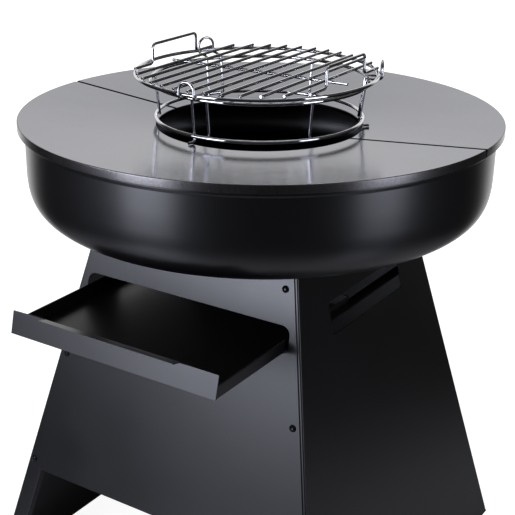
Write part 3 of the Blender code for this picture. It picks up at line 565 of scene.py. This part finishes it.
def ash_grate_tree():
    """A disc, less a slot on each point of a line, as long as the disc's middle allows there."""
    inputs = {
        "Radius": ASH_GRATE_RADIUS, "Thickness": ASH_GRATE_THICKNESS, "Slots": ASH_SLOTS,
        "Slot Width": ASH_SLOT_WIDTH, "Slot Reach": ASH_SLOT_REACH, "Pitch": ASH_SLOT_PITCH,
        "Axis Y": AXIS_Y, "Middle Z": sum(corner.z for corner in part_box("ash_grate")) / 2,
        "Finish": SCORCHED,
    }
    tree, value = new_tree("slotted_ash_grate", inputs)
    first = value["Radius"]
    sizes = {"Vertices": ASH_GRATE_SIDES, "Radius": value["Radius"], "Depth": value["Thickness"]}
    disc = first.node("GeometryNodeMeshCylinder", {}, sizes, "Mesh")
    start = first.node("ShaderNodeCombineXYZ", {}, {"X": (value["Slots"] - 1) * value["Pitch"] * -0.5})
    step = first.node("ShaderNodeCombineXYZ", {}, {"X": value["Pitch"]})
    row = {"Count": value["Slots"], "Start Location": start, "Offset": step}
    line = first.node("GeometryNodeMeshLine", {}, row)
    x = first.node("GeometryNodeInputPosition", {}, {}).part("X")
    length = 2.0 * (value["Slot Reach"] * value["Slot Reach"] - x * x) ** 0.5
    reach = {"X": value["Slot Width"], "Y": length, "Z": value["Thickness"] * 3}
    long = first.node("ShaderNodeCombineXYZ", {}, reach)
    block = first.node("GeometryNodeMeshCube", {}, {}, "Mesh")
    values = {"Points": line, "Instance": block, "Scale": long}
    slots = first.node("GeometryNodeInstanceOnPoints", {}, values)
    meshes = {"Mesh 1": disc, "Mesh 2": slots}
    cut = first.node("GeometryNodeMeshBoolean", {"operation": "DIFFERENCE"}, meshes)
    middle = first.node("ShaderNodeCombineXYZ", {}, {"Y": value["Axis Y"], "Z": value["Middle Z"]})
    seated = first.node("GeometryNodeTransform", {}, {"Geometry": cut, "Translation": middle})
    close_tree(seated, value["Finish"])
    return tree, inputs


def break_edges(piece, width, segments=2):
    """Rounds a little the sharp edges that cutting leaves on a piece."""
    breaking = piece.modifiers.new("broken_edges", "BEVEL")
    breaking.width = width
    breaking.segments = segments
    breaking.angle_limit = CUT_ANGLE


tree, ash_sizes = ash_grate_tree()
ash_grate = grown("slotted_ash_grate", tree, ash_sizes)
break_edges(ash_grate, CUT_EDGE_ROUND)
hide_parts("ash_grate")
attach(ash_grate, "base")


# Four wider socket bolts hold the bowl's floor down to the side panels' shelves, each drawn up
# by a hexagon nut under the shelf.

BOLT_LENGTH = 0.012
NUT_FACE_SHARE = 0.96
NUT_SIDES = 48


def nut_tree():
    """A hexagon nut about its middle, up its bore and down its sides, with its corners chamfered."""
    inputs = {"Bore": 0.0033, "Flat": 0.0050, "Height": 0.005, "Chamfer": 0.0005, "Finish": BLACKENED}
    tree, value = new_tree("hexagon_nut", inputs, drawn=True)
    flat, half, chamfer = value["Flat"], value["Height"] / 2, value["Chamfer"]
    section = [
        (value["Bore"], 0.0 - half, 0.0),
        (value["Bore"], half, 0.0),
        (flat * NUT_FACE_SHARE, half, 0.0),
        (flat, half - chamfer, 1.0),
        (flat, chamfer - half, 1.0),
        (flat * NUT_FACE_SHARE, 0.0 - half, 0.0),
        (value["Bore"], 0.0 - half, 0.0),
    ]
    close_tree(seat_each(turned(flat, section, NUT_SIDES), value["Drawn"]), value["Finish"])
    return tree, inputs


up = Vector((0, 0, 1))
bolt_nodes = [f"bowl_bolt_{number}" for number in range(1, 5)]
seats = [(seat_of(node, up, BOLT_LENGTH), up) for node in bolt_nodes]
bolt_sizes = {
    **screw_sizes, "Head Radius": 0.0075, "Head Height": 0.003, "Socket Depth": 0.0017,
    "Length": BOLT_LENGTH,
}
bolts = grown("bowl_bolts", SCREWS, bolt_sizes, drawn_points("bolt_seats", seats))
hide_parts(*bolt_nodes)
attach(bolts, "base")

nut_nodes = [f"bowl_nut_{number}" for number in range(1, 5)]
seats = [((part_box(node)[0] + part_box(node)[1]) / 2, up) for node in nut_nodes]
tree, nut_sizes = nut_tree()
nuts = grown("bowl_nuts", tree, nut_sizes, drawn_points("nut_seats", seats))
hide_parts(*nut_nodes)
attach(nuts, "base")


# The cooking plate is two half discs of 6 mm steel with a turned-down rim, dished slightly to the
# fire hole, turned on top and oiled. Two keeper ribs under each half stop it from sliding.

PLATE_RADIUS = 0.400
PLATE_HOLE_RADIUS = 0.1716
PLATE_THICKNESS = 0.006
PLATE_RIM_HEIGHT = 0.013
PLATE_RIM_INNER = 0.3787
PLATE_DISH = 0.0188
PLATE_EDGE_ROUND = 0.0015
PLATE_SEAM = 0.002
SEAM_EDGE_ROUND = 0.003
KEEPER_INNER = 0.3797
KEEPER_OUTER = 0.3837
KEEPER_HEIGHT = 0.014
KEEPER_ROOT = 0.004
KEEPER_TURNS = (50, 130)
KEEPER_ANGLE = 24
PLATE_COLOUR = (0.158, 0.160, 0.182)
PLATE_ROUGHNESS = 0.15
RIM_COLOUR = (0.085, 0.083, 0.082)
RIM_ROUGHER = 0.13
SOOT_COLOUR = (0.006, 0.006, 0.006)
SOOT_REACH = 0.0044
FILM_DARKER = 0.70
FILM_LIGHTER = 1.36
FILM_CLOUDS = 9.0
FILM_SPECKS = 700.0
FILM_GLOSS = 0.14
FILM_RELIEF = 0.00008
FILM_RELIEF_STRENGTH = 0.4
TURNING_MARKS = 420.0
MARK_BREAKS = 14.0
RIM_BAND = 0.002
RIM_BLEND = 0.001
RIM_PITS = 260.0
RIM_LIGHTER = 2.0
PLATE_EDGE_BREAK = 0.0004
PLATE_STEPS = 120
KEEPER_STEPS = 18
ROUND_STEPS = 6

PLATE_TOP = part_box("plate_half_front")[1].z


def plate_height(radius):
    """Height of the dished top at a distance from the axis."""
    share = (PLATE_RADIUS - radius) / (PLATE_RADIUS - PLATE_HOLE_RADIUS)
    return PLATE_TOP - PLATE_DISH * share


def oiled_plate():
    """Turned steel under burnt-in oil: round marks and clouds, a rough rim, and soot in the seam."""
    steel, shader, where = new_finish("oiled_plate", metallic=1.0)
    clouds = noise(where, FILM_CLOUDS, 4.0)
    specks = noise(where, FILM_SPECKS)
    across = where.part("Y") - AXIS_Y
    radius = (where.part("X") ** 2.0 + across * across) ** 0.5
    marks = {
        "X": where.part("X") / radius * MARK_BREAKS,
        "Y": across / radius * MARK_BREAKS,
        "Z": radius * TURNING_MARKS,
    }
    grain = noise(where.node("ShaderNodeCombineXYZ", {}, marks), 1.0, 3.0)
    rim = ((radius - PLATE_RADIUS + RIM_BAND) / RIM_BLEND).clamped()
    pits = noise(where, RIM_PITS, 3.0)
    film = clouds * 0.5 + grain * 0.35 + specks * 0.15
    top_tone = tinted(film, lighter(PLATE_COLOUR, FILM_DARKER), lighter(PLATE_COLOUR, FILM_LIGHTER))
    rim_tone = tinted(pits, RIM_COLOUR, lighter(RIM_COLOUR, RIM_LIGHTER))
    soot = 1.0 - ((across.maths("ABSOLUTE", across) - SOOT_REACH / 2) * 2 / SOOT_REACH).clamped()
    link(tinted(soot, tinted(rim, top_tone, rim_tone), SOOT_COLOUR), shader, "Base Color")
    link(PLATE_ROUGHNESS + (film - 0.5) * FILM_GLOSS + rim * RIM_ROUGHER, shader, "Roughness")
    relief = grain * 0.7 + specks * 0.3 + pits * rim * 2.0
    link(bumped(relief, FILM_RELIEF_STRENGTH, FILM_RELIEF), shader, "Normal")
    return steel


OILED = oiled_plate()


def plate_section():
    """The plate's section: up its hole, over its top, round its rim and back underneath."""
    edge = PLATE_EDGE_ROUND
    inner, under = plate_height(PLATE_HOLE_RADIUS), PLATE_TOP - PLATE_RIM_HEIGHT
    section = [(PLATE_HOLE_RADIUS, inner - PLATE_THICKNESS)]
    corners = ((PLATE_HOLE_RADIUS + edge, inner - edge, 1), (PLATE_RADIUS - edge, PLATE_TOP - edge, 0.5))
    for radius, height, begin in corners:
        for step in range(ROUND_STEPS + 1):
            turn = math.pi * (begin - step / (2 * ROUND_STEPS))
            section.append((radius + edge * math.cos(turn), height + edge * math.sin(turn)))
    section.append((PLATE_RADIUS, under + edge / 3))
    section.append((PLATE_RADIUS - edge / 3, under))
    section.append((PLATE_RIM_INNER, under))
    section.append((PLATE_RIM_INNER, plate_height(PLATE_RIM_INNER) - PLATE_THICKNESS))
    return section


def keeper_section():
    top = PLATE_TOP - PLATE_RIM_HEIGHT + KEEPER_ROOT
    bottom = PLATE_TOP - PLATE_RIM_HEIGHT - KEEPER_HEIGHT
    return [(KEEPER_INNER, bottom), (KEEPER_INNER, top), (KEEPER_OUTER, top), (KEEPER_OUTER, bottom)]


def lowered(radius, height, drop):
    """The height of a point of the section, lowered where it belongs to the top."""
    return height - drop if plate_height(radius) - height < PLATE_THICKNESS / 2 else height


def sweep_section(model, section, start, end, steps, gap=0.0, rounding=0.0):
    """Sweeps a closed section from one angle to the other. Its ends stand back by the gap, and its
    top is rolled down to them."""
    turns = [math.pi / 2 * step / ROUND_STEPS for step in range(ROUND_STEPS + 1)] if rounding else []
    rolled = [(gap + rounding * (1 - math.cos(a)), rounding * (1 - math.sin(a))) for a in turns]
    places = [(0.0, back, drop) for back, drop in rolled]
    places += [(step / steps, gap + rounding, 0.0) for step in range(steps + 1)]
    places += [(1.0, back, drop) for back, drop in reversed(rolled)]
    rings = []
    for share, back, drop in places:
        ring = []
        for radius, height in section:
            margin = math.asin(back / radius)
            turn = start + margin + (end - start - 2 * margin) * share
            x, y = radius * math.cos(turn), AXIS_Y + radius * math.sin(turn)
            ring.append(model.verts.new((x, y, lowered(radius, height, drop))))
        rings.append(ring)
    for here, there in zip(rings, rings[1:]):
        for k in range(len(section)):
            after = (k + 1) % len(section)
            model.faces.new((here[k], here[after], there[after], there[k]))
    model.faces.new(rings[0])
    model.faces.new(reversed(rings[-1]))


def plate_half(node, side):
    """The front (-1) or back (1) half of the plate, with its keeper ribs."""
    model = bmesh.new()
    middle = side * math.pi / 2
    ends = middle - math.pi / 2, middle + math.pi / 2
    sweep_section(model, plate_section(), *ends, PLATE_STEPS, PLATE_SEAM / 2, SEAM_EDGE_ROUND)
    for turn in KEEPER_TURNS:
        start = math.radians(side * turn - KEEPER_ANGLE / 2)
        sweep_section(model, keeper_section(), start, start + math.radians(KEEPER_ANGLE), KEEPER_STEPS)
    bmesh.ops.remove_doubles(model, verts=model.verts, dist=FINE_POINT)
    bmesh.ops.recalc_face_normals(model, faces=model.faces)
    shape = bpy.data.meshes.new(node + "_steel")
    model.to_mesh(shape)
    model.free()
    shape.materials.append(OILED)
    shape.shade_smooth()
    half = bpy.data.objects.new(node + "_steel", shape)
    bpy.context.scene.collection.objects.link(half)
    break_edges(half, PLATE_EDGE_BREAK)
    half.modifiers.new("normals", "WEIGHTED_NORMAL")
    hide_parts(node)
    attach(half, "plate")


plate_half("plate_half_front", -1)
plate_half("plate_half_back", 1)


# The stand sits on the edge of the fire hole: a lower and an upper ring of 6 mm wire, and inside
# them three bent 4.5 mm wires, each with a foot and a hoop, and three posts, all spot welded and
# chromed.

RING_WIRE = 0.003
STAND_WIRE = 0.00225
LOWER_RING_RADIUS = 0.172
UPPER_RING_RADIUS = 0.1795
LOOP_ANGLES = (30, 150, 270)
POST_ANGLES = (90, 210, 330)
LOOP_HALF_WIDTH = 0.014
LOOP_HEIGHT = 0.0265
LOOP_REACH = 0.20475
FOOT_REACH = 0.0104
WIRE_BEND = 0.00555
WIRE_GAP = 0.0003
WELD_RADIUS = 0.0013
WELD_SHARP = 80.0
WELD_STEPS = 2
WIRE_SIDES = 16
WIRE_END_ROUND = 0.0007
BEND_STEPS = 8
RING_STEPS = 160
HOOP_FULLNESS = 0.999
CHROME_DARK = (0.50, 0.50, 0.51)
CHROME_LIGHT = (0.68, 0.68, 0.69)
CHROME_ROUGHNESS = 0.03
CHROME_HAZE = 300.0
HAZE_ROUGHER = 0.05
DRAWING_MARKS = 900.0
DRAWING_RELIEF = 0.00002
DRAWING_RELIEF_STRENGTH = 0.15
GRATE_SHIFT = Vector((-0.0045, -0.003, 0.0))

lower_ring_z = sum(corner.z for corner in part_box("stand_lower_ring")) / 2
upper_ring_z = sum(corner.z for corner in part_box("stand_upper_ring")) / 2
arm_z = upper_ring_z + WIRE_BEND


def chromed_wire():
    """Bright chrome on drawn wire: a mirror with a faint haze along it."""
    chrome, shader, where = new_finish("chromed_wire", metallic=1.0)
    haze = noise(where, CHROME_HAZE)
    link(tinted(haze, CHROME_DARK, CHROME_LIGHT), shader, "Base Color")
    link(CHROME_ROUGHNESS + haze * HAZE_ROUGHER, shader, "Roughness")
    marks = noise(where, DRAWING_MARKS)
    link(bumped(marks, DRAWING_RELIEF_STRENGTH, DRAWING_RELIEF), shader, "Normal")
    return chrome


CHROME = chromed_wire()


def wire_tree():
    """Draws round wire along the drawn lines, with closed ends."""
    inputs = {"Wire Radius": STAND_WIRE, "Sides": WIRE_SIDES, "Finish": CHROME}
    tree, value = new_tree("round_wire", inputs, drawn=True)
    first = value["Wire Radius"]
    circle = {"Resolution": value["Sides"], "Radius": value["Wire Radius"]}
    profile = first.node("GeometryNodeCurvePrimitiveCircle", {}, circle)
    sweep = {"Curve": value["Drawn"], "Profile Curve": profile, "Fill Caps": True}
    close_tree(first.node("GeometryNodeCurveToMesh", {}, sweep), value["Finish"])
    return tree, inputs


WIRES, wire_sizes = wire_tree()


def bent(corners):
    """The middle line of a wire through corners, each a place and a bend radius."""
    line = [corners[0][0]]
    for (before, _), (corner, radius), (after, _) in zip(corners, corners[1:], corners[2:]):
        arrive = (corner - before).normalized()
        leave = (after - corner).normalized()
        half = arrive.angle(leave) / 2
        start = corner - arrive * radius * math.tan(half)
        middle = corner + (leave - arrive).normalized() * radius / math.cos(half)
        for step in range(BEND_STEPS + 1):
            turn = Matrix.Rotation(2 * half * step / BEND_STEPS, 3, arrive.cross(leave))
            line.append(middle + turn @ (start - middle))
    line.append(corners[-1][0])
    return line


def circle_line(radius, height, middle):
    turns = [math.tau * step / RING_STEPS for step in range(RING_STEPS)]
    return [Vector((radius * math.cos(t), radius * math.sin(t), height)) + middle for t in turns]


def wire(name, lines, radius, body, nodes, closed=False):
    """One piece of wire for each middle line, all in one mesh that replaces its CAD nodes."""
    drawn = bpy.data.curves.new(name + "_lines", "CURVE")
    for line in lines:
        spline = drawn.splines.new("POLY")
        spline.points.add(len(line) - 1)
        for point, place in zip(spline.points, line):
            point.co = (*place, 1.0)
        spline.use_cyclic_u = closed
    piece = grown(name, WIRES, {**wire_sizes, "Wire Radius": radius}, drawn)
    if not closed:
        break_edges(piece, WIRE_END_ROUND, 3)
    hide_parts(*nodes)
    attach(piece, body)


def weld_tree():
    """A small bead of weld metal on each drawn point."""
    inputs = {"Bead Radius": WELD_RADIUS, "Finish": CHROME}
    tree, value = new_tree("weld_beads", inputs, drawn=True)
    first = value["Bead Radius"]
    ball = {"Radius": first, "Subdivisions": WELD_STEPS}
    bead = first.node("GeometryNodeMeshIcoSphere", {}, ball, "Mesh")
    close_tree(seat_each(bead, value["Drawn"]), value["Finish"])
    return tree, inputs


WELDS, weld_sizes = weld_tree()


def welds(name, places, body):
    seats = drawn_points(name + "_places", [(place, up) for place in places])
    beads = grown(name, WELDS, weld_sizes, seats, WELD_SHARP)
    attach(beads, body)


def beside_ring(radius, aside):
    """How far out an upright stands, a distance aside of the middle, that touches a ring's inside."""
    return math.sqrt((radius - WIRE_BEND) ** 2 - aside * aside)


def loop_corners(reach):
    """One loop's corners on the +X side: foot, upright, arm, hoop, arm and upright."""
    half = LOOP_HALF_WIDTH
    low, high = beside_ring(LOWER_RING_RADIUS, half), beside_ring(UPPER_RING_RADIUS, half)
    lean = (high - low) / (upper_ring_z - lower_ring_z)
    foot_z = plate_height(PLATE_HOLE_RADIUS) + STAND_WIRE + WIRE_GAP
    foot_end = PLATE_HOLE_RADIUS + FOOT_REACH
    end_z = lower_ring_z - RING_WIRE
    top = arm_z + LOOP_HEIGHT
    arm = low + lean * (arm_z - lower_ring_z)
    return [
        (Vector((foot_end, -half, plate_height(foot_end) + STAND_WIRE + WIRE_GAP)), 0),
        (Vector((low + lean * (foot_z - lower_ring_z), -half, foot_z)), WIRE_BEND),
        (Vector((arm, -half, arm_z)), WIRE_BEND),
        (Vector((reach, -half, arm_z)), WIRE_BEND),
        (Vector((reach, -half, top)), half * HOOP_FULLNESS),
        (Vector((reach, half, top)), half * HOOP_FULLNESS),
        (Vector((reach, half, arm_z)), WIRE_BEND),
        (Vector((arm, half, arm_z)), WIRE_BEND),
        (Vector((low + lean * (end_z - lower_ring_z), half, end_z)), 0),
    ]


axis = Vector((0, AXIS_Y, 0))
wire("stand_lower_wire", [circle_line(LOWER_RING_RADIUS, lower_ring_z, axis)], RING_WIRE, "stand",
     ["stand_lower_ring"], closed=True)
wire("stand_upper_wire", [circle_line(UPPER_RING_RADIUS, upper_ring_z, axis)], RING_WIRE, "stand",
     ["stand_upper_ring"], closed=True)

loop_lines = []
beads = []
for degrees in LOOP_ANGLES:
    turn = Matrix.Rotation(math.radians(degrees), 3, "Z")
    reach = LOOP_REACH + (turn @ Vector((1, 0, 0))).dot(GRATE_SHIFT)
    loop_lines.append([turn @ place + axis for place in bent(loop_corners(reach))])
    for side in (-1, 1):
        for radius, height in ((LOWER_RING_RADIUS, lower_ring_z), (UPPER_RING_RADIUS, upper_ring_z)):
            spot = Vector((beside_ring(radius, LOOP_HALF_WIDTH), side * LOOP_HALF_WIDTH, height))
            outward = Vector((spot.x, spot.y, 0)).normalized()
            beads.append(turn @ (spot + outward * STAND_WIRE) + axis)
wire("stand_loop_wires", loop_lines, STAND_WIRE, "stand", [f"stand_loop_{k}" for k in (1, 2, 3)])

post_lines = []
for degrees in POST_ANGLES:
    turn = Matrix.Rotation(math.radians(degrees), 3, "Z")
    low = Vector((beside_ring(LOWER_RING_RADIUS, 0), 0, lower_ring_z - RING_WIRE))
    high = Vector((beside_ring(UPPER_RING_RADIUS, 0), 0, upper_ring_z + RING_WIRE))
    post_lines.append([turn @ low + axis, turn @ high + axis])
    for radius, height in ((LOWER_RING_RADIUS, lower_ring_z), (UPPER_RING_RADIUS, upper_ring_z)):
        beads.append(turn @ Vector((radius - RING_WIRE, 0, height)) + axis)
wire("stand_post_wires", post_lines, STAND_WIRE, "stand", [f"stand_post_{k}" for k in (1, 2, 3)])
welds("stand_welds", beads, "stand")


# The grate is a ring of 6 mm wire under eleven 5 mm rods, with one cross rod below them and two
# raised handle rods, spot welded at each crossing, chromed, and laid loose on the stand's arms.

GRATE_RING_RADIUS = 0.199
ROD_WIRE = 0.0025
ROD_COUNT = 11
ROD_PITCH = 0.0274
ROD_OVERHANG = 0.0012
CROSS_ROD_HALF = 0.1685
HANDLE_OFFSET = 0.164
HANDLE_HALF_LENGTH = 0.064
HANDLE_RISE = 0.032
HANDLE_BEND = 0.008
GRATE_TURN = 1.0

grate_ring_z = arm_z + WIRE_BEND
rod_z = grate_ring_z + RING_WIRE + ROD_WIRE + WIRE_GAP


def rods_tree():
    """A rod on each point of a line, as long as the ring is wide there."""
    inputs = {
        "Count": ROD_COUNT, "Pitch": ROD_PITCH, "Ring Radius": GRATE_RING_RADIUS,
        "Overhang": ROD_OVERHANG, "Wire Radius": ROD_WIRE, "Sides": WIRE_SIDES, "Height": rod_z,
        "Shift X": GRATE_SHIFT.x, "Shift Y": GRATE_SHIFT.y + AXIS_Y,
        "Turn": math.radians(GRATE_TURN), "Finish": CHROME,
    }
    tree, value = new_tree("grate_rods", inputs)
    first = value["Pitch"]
    start = first.node("ShaderNodeCombineXYZ", {}, {"X": (value["Count"] - 1) * value["Pitch"] * -0.5})
    step = first.node("ShaderNodeCombineXYZ", {}, {"X": value["Pitch"]})
    row = {"Count": value["Count"], "Start Location": start, "Offset": step}
    line = first.node("GeometryNodeMeshLine", {}, row)
    x = first.node("GeometryNodeInputPosition", {}, {}).part("X")
    chord = (value["Ring Radius"] * value["Ring Radius"] - x * x) ** 0.5 + value["Overhang"]
    rod = first.node("GeometryNodeCurvePrimitiveLine", {}, {"Start": (0, -1, 0), "End": (0, 1, 0)})
    long = first.node("ShaderNodeCombineXYZ", {}, {"X": 1.0, "Y": chord, "Z": 1.0})
    values = {"Points": line, "Instance": rod, "Scale": long}
    rods = first.node("GeometryNodeInstanceOnPoints", {}, values)
    real = first.node("GeometryNodeRealizeInstances", {}, {"Geometry": rods})
    circle = {"Resolution": value["Sides"], "Radius": value["Wire Radius"]}
    profile = first.node("GeometryNodeCurvePrimitiveCircle", {}, circle)
    sweep = {"Curve": real, "Profile Curve": profile, "Fill Caps": True}
    drawn = first.node("GeometryNodeCurveToMesh", {}, sweep)
    place = {"X": value["Shift X"], "Y": value["Shift Y"], "Z": value["Height"]}
    shift = first.node("ShaderNodeCombineXYZ", {}, place)
    turn = first.node("ShaderNodeCombineXYZ", {}, {"Z": value["Turn"]})
    laid = {"Geometry": drawn, "Translation": shift, "Rotation": turn}
    close_tree(first.node("GeometryNodeTransform", {}, laid), value["Finish"])
    return tree, inputs


tree, rod_sizes = rods_tree()
rods = grown("grate_rods", tree, rod_sizes)
break_edges(rods, WIRE_END_ROUND, 3)
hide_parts(*[f"grate_rod_{number}" for number in range(1, ROD_COUNT + 1)])
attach(rods, "grate")


def laid_grate(line):
    """A line drawn about the grate's own middle, taken to where the loose grate lies."""
    turn = Matrix.Rotation(math.radians(GRATE_TURN), 3, "Z")
    return [turn @ Vector(place) + GRATE_SHIFT + axis for place in line]


def half_chord(x):
    return math.sqrt(GRATE_RING_RADIUS ** 2 - x * x)


def handle_line(x):
    """A handle rod: along the grate, up, across and down again, to the ring on both sides."""
    end, half, high = half_chord(x) + ROD_OVERHANG, HANDLE_HALF_LENGTH, rod_z + HANDLE_RISE
    return bent([
        (Vector((x, -end, rod_z)), 0),
        (Vector((x, -half, rod_z)), HANDLE_BEND),
        (Vector((x, -half, high)), HANDLE_BEND),
        (Vector((x, half, high)), HANDLE_BEND),
        (Vector((x, half, rod_z)), HANDLE_BEND),
        (Vector((x, end, rod_z)), 0),
    ])


cross_z = rod_z - 2 * ROD_WIRE - WIRE_GAP
ring_line = laid_grate(circle_line(GRATE_RING_RADIUS, grate_ring_z, Vector()))
wire("grate_ring_wire", [ring_line], RING_WIRE, "grate", ["grate_ring"], closed=True)
cross_line = laid_grate([(-CROSS_ROD_HALF, 0, cross_z), (CROSS_ROD_HALF, 0, cross_z)])
wire("grate_cross_wire", [cross_line], ROD_WIRE, "grate", ["grate_cross_rod"])
handle_lines = [laid_grate(handle_line(x)) for x in (-HANDLE_OFFSET, HANDLE_OFFSET)]
handles = ["grate_handle_left", "grate_handle_right"]
wire("grate_handle_wires", handle_lines, ROD_WIRE, "grate", handles)

beads = []
rod_places = [(k - (ROD_COUNT - 1) / 2) * ROD_PITCH for k in range(ROD_COUNT)]
for x in rod_places + [-HANDLE_OFFSET, HANDLE_OFFSET]:
    for side in (-1, 1):
        beads.append((x, side * half_chord(x), rod_z - ROD_WIRE))
    if abs(x) < CROSS_ROD_HALF - ROD_WIRE and abs(x) < HANDLE_OFFSET:
        beads.append((x, 0, rod_z - ROD_WIRE))
welds("grate_welds", laid_grate(beads), "grate")


# The studio: a gloss floor that shows white to the camera and, to mirrors, carries a painted pool of
# light, grey near the object and dark further off; a white backdrop behind the object in a room that is
# otherwise dark to mirrors; and soft boxes: two tall ones beside the camera, which draw the highlights on
# the bowl, one across the left one, and a faint one overhead.

FLOOR_SIZE = 14.0
FLOOR_ROUGHNESS = 0.22
FLOOR_COLOUR = (0.30, 0.30, 0.30)
# Painted light that only mirrors see: a grey pool of light on the floor near the object, fading to
# painted dark further off.
FLOOR_PAINTED_POOL = (0.42, 0.42, 0.43)
FLOOR_PAINTED_DARK = (0.02, 0.02, 0.02)
FLOOR_NEAR_REACH = 0.75
FLOOR_FAR_REACH = 1.4
FLOOR_GLOW = (0.93, 0.93, 0.93)
BACKDROP_WAY = (-0.53, 0.848, 0.0)
BACKDROP_EDGE = 0.62
BACKDROP_CORE = 0.78
BACKDROP_TOP = 0.42
ROOM_LIGHT = 0.50
DARK_SIDE = 0.004
UPPER_WALLS = 0.06
WALLS_FROM = 0.10
CEILING = 0.20
CEILING_FROM = 0.80
ROOM_BLEND = 0.125
LAMP_COLOUR = (0.82, 0.85, 1.0)
LEFT_BOX_PLACE = (-0.45, -1.75)
LEFT_BOX_WIDTH = 0.72
RIGHT_BOX_PLACE = (1.85, -0.14)
RIGHT_BOX_WIDTH = 0.66
RIGHT_BOX_SHARE = 0.66
SIDE_BOX_PLACE = (-0.95, -1.72, 0.93)
SIDE_BOX_SIZE = (0.80, 0.46)
SIDE_BOX_RADIANCE = 11.0
TOP_BOX_PLACE = (-0.3, 0.6, 2.6)
TOP_BOX_TARGET = (0, 0, 0.8)
TOP_BOX_SIZE = (1.0, 0.7)
TOP_BOX_RADIANCE = 1.5

# Each band of the tall boxes: its foot, its top and its radiance.
TALL_BOX_BANDS = ((0.05, 0.36, 2.0), (0.36, 0.70, 7.5), (0.70, 1.15, 9.0), (1.15, 1.85, 5.5))

bpy.context.scene.view_settings.view_transform = "Standard"


def towards_backdrop(way):
    """1 where a way leads to the white backdrop behind the object, 0 where it leads elsewhere."""
    way = way.node("ShaderNodeVectorMath", {"operation": "NORMALIZE"}, {0: way})
    ways = {0: way, 1: BACKDROP_WAY}
    facing = way.node("ShaderNodeVectorMath", {"operation": "DOT_PRODUCT"}, ways, "Value")
    return ((facing - BACKDROP_EDGE) / (BACKDROP_CORE - BACKDROP_EDGE)).clamped()


def rays(tree):
    """1 for a ray from the camera, for one through glass, and for one off a mirror."""
    path = tree.nodes.new("ShaderNodeLightPath")
    kinds = ("Is Camera Ray", "Is Transmission Ray", "Is Glossy Ray")
    return [Socket(tree, path.outputs[kind]) for kind in kinds]


def studio_floor():
    """A floor that is white to the camera, through glass, and for mirrors towards the backdrop. To other
    mirrors it carries a painted pool of light: grey near the object and dark further off."""
    gloss, shader, where = new_finish(
        "studio_floor", roughness=FLOOR_ROUGHNESS, specular_ior_level=1.0, emission_strength=1.0)
    seen, through, mirrored = rays(where.tree)
    backdrop = towards_backdrop(where)
    distance = (where.part("X") ** 2.0 + where.part("Y") ** 2.0) ** 0.5
    # The painted pool of light for mirrors: grey near the object, dark further off.
    far = ((distance - FLOOR_NEAR_REACH) / (FLOOR_FAR_REACH - FLOOR_NEAR_REACH)).clamped()
    painted_pool_in_mirrors = tinted(far, FLOOR_PAINTED_POOL, FLOOR_PAINTED_DARK)
    link(tinted(mirrored * (1.0 - backdrop), FLOOR_COLOUR, painted_pool_in_mirrors), shader, "Base Color")
    glow = (seen + through + mirrored * backdrop * far).clamped()
    link(tinted(glow, (0.0, 0.0, 0.0), FLOOR_GLOW), shader, "Emission Color")
    return gloss


half = FLOOR_SIZE / 2
floor_corners = [(-half, -half, 0), (half, -half, 0), (half, half, 0), (-half, half, 0)]
floor_mesh = bpy.data.meshes.new("floor")
floor_mesh.from_pydata(floor_corners, [], [(0, 1, 2, 3)])
floor_mesh.materials.append(studio_floor())
floor = bpy.data.objects.new("floor", floor_mesh)
bpy.context.scene.collection.objects.link(floor)

room = bpy.data.worlds.new("room")
room.use_nodes = True
bpy.context.scene.world = room
tree = room.node_tree
light = tree.nodes["Background"]
seen, through, mirrored = rays(tree)
way = Socket(tree, tree.nodes.new("ShaderNodeTexCoord").outputs["Generated"])
rise = way.part("Z")


def above(start):
    """1 where the room's way rises past a start, 0 where it stays below."""
    return ((rise - start) / ROOM_BLEND).clamped()


backdrop = towards_backdrop(way) * (1.0 - above(BACKDROP_TOP))
mirror_room = backdrop + DARK_SIDE + above(WALLS_FROM) * UPPER_WALLS + above(CEILING_FROM) * CEILING
background = (seen + through).clamped()
strength = background + (1.0 - background) * (mirror_room * mirrored + ROOM_LIGHT * (1.0 - mirrored))
tree.links.new(strength.plug, light.inputs["Strength"])
light.inputs["Color"].default_value = (1.0, 1.0, 1.0, 1.0)


def soft_box(name, place, target, width, height, radiance):
    """A soft box of an even radiance, turned to a target."""
    lamp = bpy.data.lights.new(name, "AREA")
    lamp.shape = "RECTANGLE"
    lamp.size = width
    lamp.size_y = height
    lamp.energy = radiance * math.pi * width * height
    lamp.color = LAMP_COLOUR
    made = bpy.data.objects.new(name, lamp)
    made.location = place
    made.rotation_euler = (Vector(target) - Vector(place)).to_track_quat("-Z", "Y").to_euler()
    bpy.context.scene.collection.objects.link(made)


for low, high, radiance in TALL_BOX_BANDS:
    middle = (low + high) / 2
    target = (0, 0, middle)
    left, right = (*LEFT_BOX_PLACE, middle), (*RIGHT_BOX_PLACE, middle)
    soft_box(f"left_soft_box_{low}", left, target, LEFT_BOX_WIDTH, high - low, radiance)
    radiance *= RIGHT_BOX_SHARE
    soft_box(f"right_soft_box_{low}", right, target, RIGHT_BOX_WIDTH, high - low, radiance)
side_target = (0, 0, SIDE_BOX_PLACE[2])
soft_box("left_side_soft_box", SIDE_BOX_PLACE, side_target, *SIDE_BOX_SIZE, SIDE_BOX_RADIANCE)
soft_box("top_soft_box", TOP_BOX_PLACE, TOP_BOX_TARGET, *TOP_BOX_SIZE, TOP_BOX_RADIANCE)
